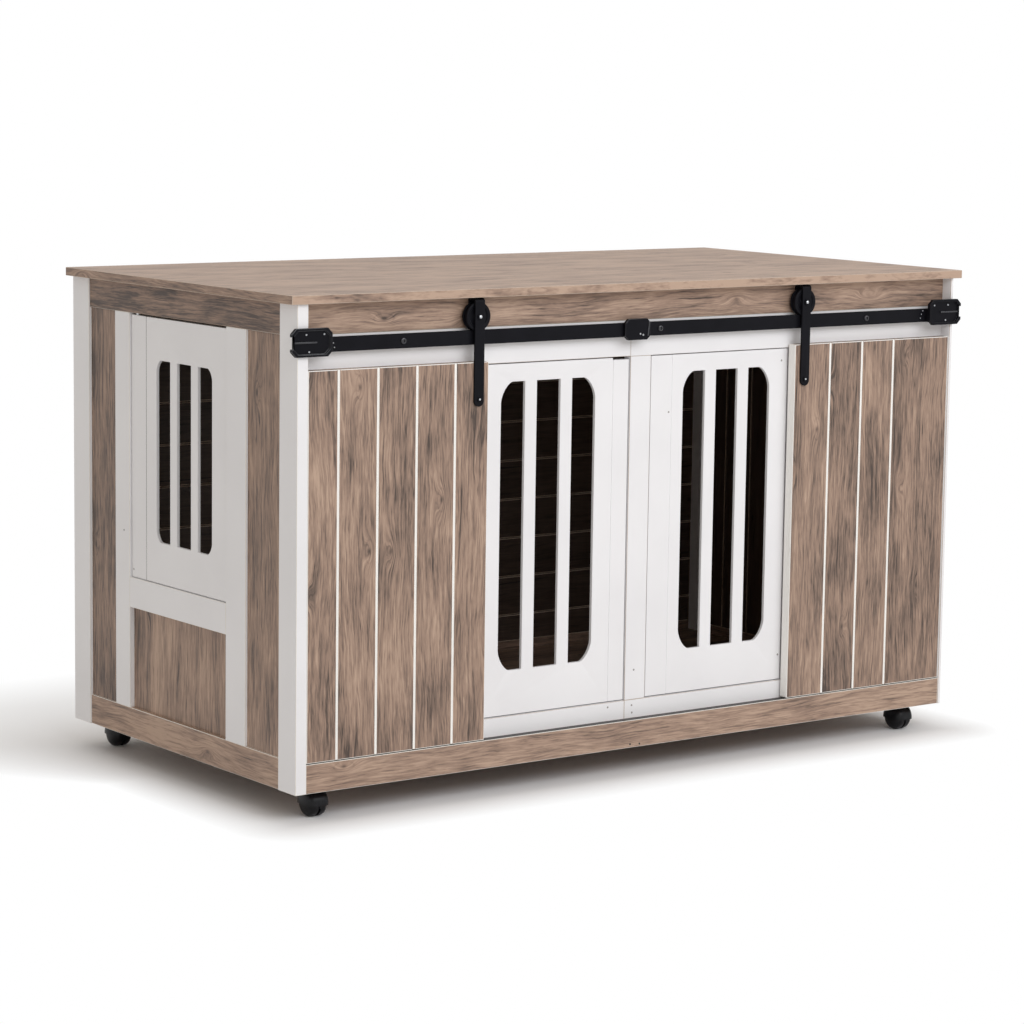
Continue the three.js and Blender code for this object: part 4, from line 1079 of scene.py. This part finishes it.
def mirrored(points):
    return [(r, -x) for r, x in reversed(points)]


def dress_caster_wheel(node):
    """Two smooth rounded halves on an axle, with the slot of the hood's web between them."""
    low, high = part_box(node)
    radius = (high.z - low.z) / 2
    right = drum(radius, (high.x - low.x) / 2)
    slot = [(CASTER_AXLE, -WHEEL_SLOT_HALF), (CASTER_AXLE, WHEEL_SLOT_HALF)]
    right = [(radius, WHEEL_SLOT_HALF)] + right
    profile = mirrored(right) + slot + right
    mesh = turn(bmesh.new(), profile, "x", (low + high) / 2)
    made = piece(f"{node}_turned", mend_normals(mesh), [NYLON], TURNED_SMOOTH_ANGLE)
    settle(made, "black_nylon", node)


def dress_caster_hood(node):
    """Smooth hood over the top of the wheel, its web, and the collar and stem it swivels on."""
    wheel_low, wheel_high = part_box(node.replace("_hood", "_wheel"))
    low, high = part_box(node)
    centre = (wheel_low + wheel_high) / 2
    radius = (wheel_high.z - wheel_low.z) / 2
    half = (wheel_high.x - wheel_low.x) / 2
    outer = drum(radius + HOOD_GAP + HOOD_WALL, half + HOOD_GAP + HOOD_WALL)
    inner = drum(radius + HOOD_GAP, half + HOOD_GAP)
    loop = mirrored(outer) + outer + list(reversed(inner)) + list(reversed(mirrored(inner)))
    droop = math.asin(HOOD_SKIRT / radius)
    mesh = bmesh.new()
    part = turn(bmesh.new(), loop + [loop[0]], "x", centre, start=-droop, sweep=math.pi + 2 * droop)
    merge(mesh, mend_normals(part))
    web_radius = radius + HOOD_GAP + HOOD_WALL / 2
    dip = math.asin(WEB_SKIRT / web_radius)
    bore = CASTER_AXLE + AXLE_CLEARANCE
    ring = [(bore, -WEB_HALF), (web_radius, -WEB_HALF), (web_radius, WEB_HALF)]
    ring += [(bore, WEB_HALF), ring[0]]
    part = turn(bmesh.new(), ring, "x", centre, start=-dip, sweep=math.pi + 2 * dip)
    merge(mesh, mend_normals(part))
    foot = centre.z + COLLAR_FOOT
    profile = [(0, foot), (COLLAR_RADIUS, foot), (COLLAR_RADIUS, CARCASS_BOTTOM - COLLAR_CHAMFER)]
    profile += [(COLLAR_RADIUS - COLLAR_CHAMFER, CARCASS_BOTTOM), (STEM_RADIUS, CARCASS_BOTTOM)]
    profile += [(STEM_RADIUS, high.z), (0, high.z)]
    part = turn(bmesh.new(), profile, "z", (centre.x, stem_place(centre), 0.0))
    merge(mesh, mend_normals(part))
    made = piece(f"{node}_turned", mesh, [NYLON], TURNED_SMOOTH_ANGLE)
    settle(made, "black_nylon", node)


def stem_place(centre):
    """The stem stands the trail away from the axle, towards the middle of the table."""
    return centre.y + (CASTER_TRAIL if centre.y < 0 else -CASTER_TRAIL)


def dress_casters():
    for node in nodes:
        if node.endswith("_caster_hood"):
            dress_caster_hood(node)
        if node.endswith("_caster_wheel"):
            dress_caster_wheel(node)


# ---------------------------------------------------------------- stage

CAMERA_PLACE = (-2.8645, -3.8915, 1.0282)
CAMERA_HEADING = math.radians(-36.211)
CAMERA_PITCH = math.radians(8.058)
CAMERA_ROLL = math.radians(0.803)
CAMERA_LENS = 114.258
SENSOR_WIDTH = 36.0
VIEW_END = 200.0

# The floor keeps its shadow inside these halves and fades to white outside them. The fade is
# FADE_FRONT long in front, FADE_BACK long behind, and changes between the two Y of FADE_TURN.
FLOOR_HALF = 30.0
SHADOW_HALF_X = 0.59
SHADOW_HALF_Y = 0.30
FADE_FRONT = 0.09
FADE_BACK = 0.50
FADE_TURN = (0.05, 0.60)
FLOOR_WAVES = 40.0
FLOOR_SHADE = 0.985
FLOOR_ROUGH = 0.7
FLOOR_GLOSS = 0.2

WORLD_TINT = (1.0, 0.945, 0.875)
WORLD_LEVEL = 0.55
KEY_TINT = (0.935, 0.960, 1.0)
KEY_PLACE = (0.3, -3.2, 2.4)
KEY_TARGET = (0.0, 0.0, 0.35)
KEY_SIZE = (4.2, 1.8)
KEY_POWER = 64.0


def set_camera():
    data = bpy.data.cameras.new("camera")
    data.lens = CAMERA_LENS
    data.sensor_width = SENSOR_WIDTH
    data.clip_end = VIEW_END
    camera = bpy.data.objects.new("camera", data)
    turn_matrix = (
        Matrix.Rotation(CAMERA_HEADING, 4, "Z")
        @ Matrix.Rotation(math.pi / 2 - CAMERA_PITCH, 4, "X")
        @ Matrix.Rotation(CAMERA_ROLL, 4, "Z")
    )
    camera.matrix_world = Matrix.Translation(CAMERA_PLACE) @ turn_matrix
    bpy.context.scene.collection.objects.link(camera)
    bpy.context.scene.camera = camera


def background_ray(graph):
    """1 for rays that should see the white backdrop: from the camera, off gloss and through glass."""
    path = graph.node("ShaderNodeLightPath").outputs
    seen = graph.math("MAXIMUM", path["Is Camera Ray"], path["Is Glossy Ray"])
    return graph.math("MAXIMUM", seen, path["Is Transmission Ray"])


def beyond(graph, value, half):
    """How far a value lies outside this distance from 0 on either side."""
    return graph.math("MAXIMUM", graph.math("SUBTRACT", graph.math("ABSOLUTE", value), half), 0.0)


def lay_floor():
    """Pale floor that keeps the shadow near the object and turns plain white away from it."""
    graph = Graph(bpy.data.materials.new("floor"))
    x, y, z = graph.place()
    out_x = beyond(graph, x, SHADOW_HALF_X)
    out_y = beyond(graph, y, SHADOW_HALF_Y)
    square = graph.math("ADD", graph.math("POWER", out_x, 2.0), graph.math("POWER", out_y, 2.0))
    away = graph.math("SQRT", square)
    reach = {"Value": y, "From Min": FADE_TURN[0], "From Max": FADE_TURN[1]}
    reach |= {"To Min": FADE_FRONT, "To Max": FADE_BACK}
    end = graph.node("ShaderNodeMapRange", reach).outputs["Result"]
    fade = graph.node("ShaderNodeMapRange", {"Value": away, "From Min": 0.0, "From Max": end})
    grain = graph.solid_noise((x, y, z), FLOOR_WAVES, BROAD_DETAIL)
    tint = graph.mix(grain, FLOOR_COLOUR, scaled(FLOOR_COLOUR, FLOOR_SHADE))
    graph.surface(Base_Color=tint, Roughness=FLOOR_ROUGH, Specular_IOR_Level=FLOOR_GLOSS)
    white = graph.node("ShaderNodeEmission", {"Color": BACKDROP, "Strength": 1.0})
    share = graph.math("MULTIPLY", fade.outputs["Result"], background_ray(graph))
    mixed = graph.node("ShaderNodeMixShader", {0: share})
    graph.feed(mixed.inputs[1], graph.shader.outputs[0])
    graph.feed(mixed.inputs[2], white.outputs[0])
    graph.feed(graph.tree.nodes["Material Output"].inputs["Surface"], mixed.outputs[0])
    mesh = bmesh.new()
    corners = [(-1, -1), (1, -1), (1, 1), (-1, 1)]
    mesh.faces.new([mesh.verts.new((FLOOR_HALF * a, FLOOR_HALF * b, 0.0)) for a, b in corners])
    piece("floor", mesh, [graph.owner])


def light_world():
    """Warm light from all round; the camera and gloss see a plain white backdrop instead."""
    world = bpy.data.worlds.new("studio")
    bpy.context.scene.world = world
    graph = Graph(world)
    lamp = graph.tree.nodes["Background"]
    lamp.inputs["Color"].default_value = (*WORLD_TINT, 1.0)
    lamp.inputs["Strength"].default_value = WORLD_LEVEL
    white = graph.node("ShaderNodeBackground", {"Color": BACKDROP, "Strength": 1.0})
    mixed = graph.node("ShaderNodeMixShader", {0: background_ray(graph)})
    graph.feed(mixed.inputs[1], lamp.outputs[0])
    graph.feed(mixed.inputs[2], white.outputs[0])
    graph.feed(graph.tree.nodes["World Output"].inputs["Surface"], mixed.outputs[0])


def light_key():
    """One wide rectangular lamp above and in front, turned to the middle of the object."""
    data = bpy.data.lights.new("key", "AREA")
    data.shape = "RECTANGLE"
    data.size, data.size_y = KEY_SIZE
    data.energy = KEY_POWER
    data.color = KEY_TINT
    lamp = bpy.data.objects.new("key", data)
    lamp.location = KEY_PLACE
    lamp.rotation_mode = "QUATERNION"
    lamp.rotation_quaternion = (Vector(KEY_TARGET) - Vector(KEY_PLACE)).to_track_quat("-Z", "Y")
    bpy.context.scene.collection.objects.link(lamp)


bpy.context.scene.view_settings.view_transform = "Standard"
set_camera()
lay_floor()
light_world()
light_key()
dress_plain_boards()
dress_tabletop()
dress_bottom_rail()
dress_doors()
dress_panels()
dress_white_boards()
dress_rails()
dress_rollers()
dress_hangers()
dress_stops()
dress_bracket()
dress_pins()
add_marks()
dress_casters()
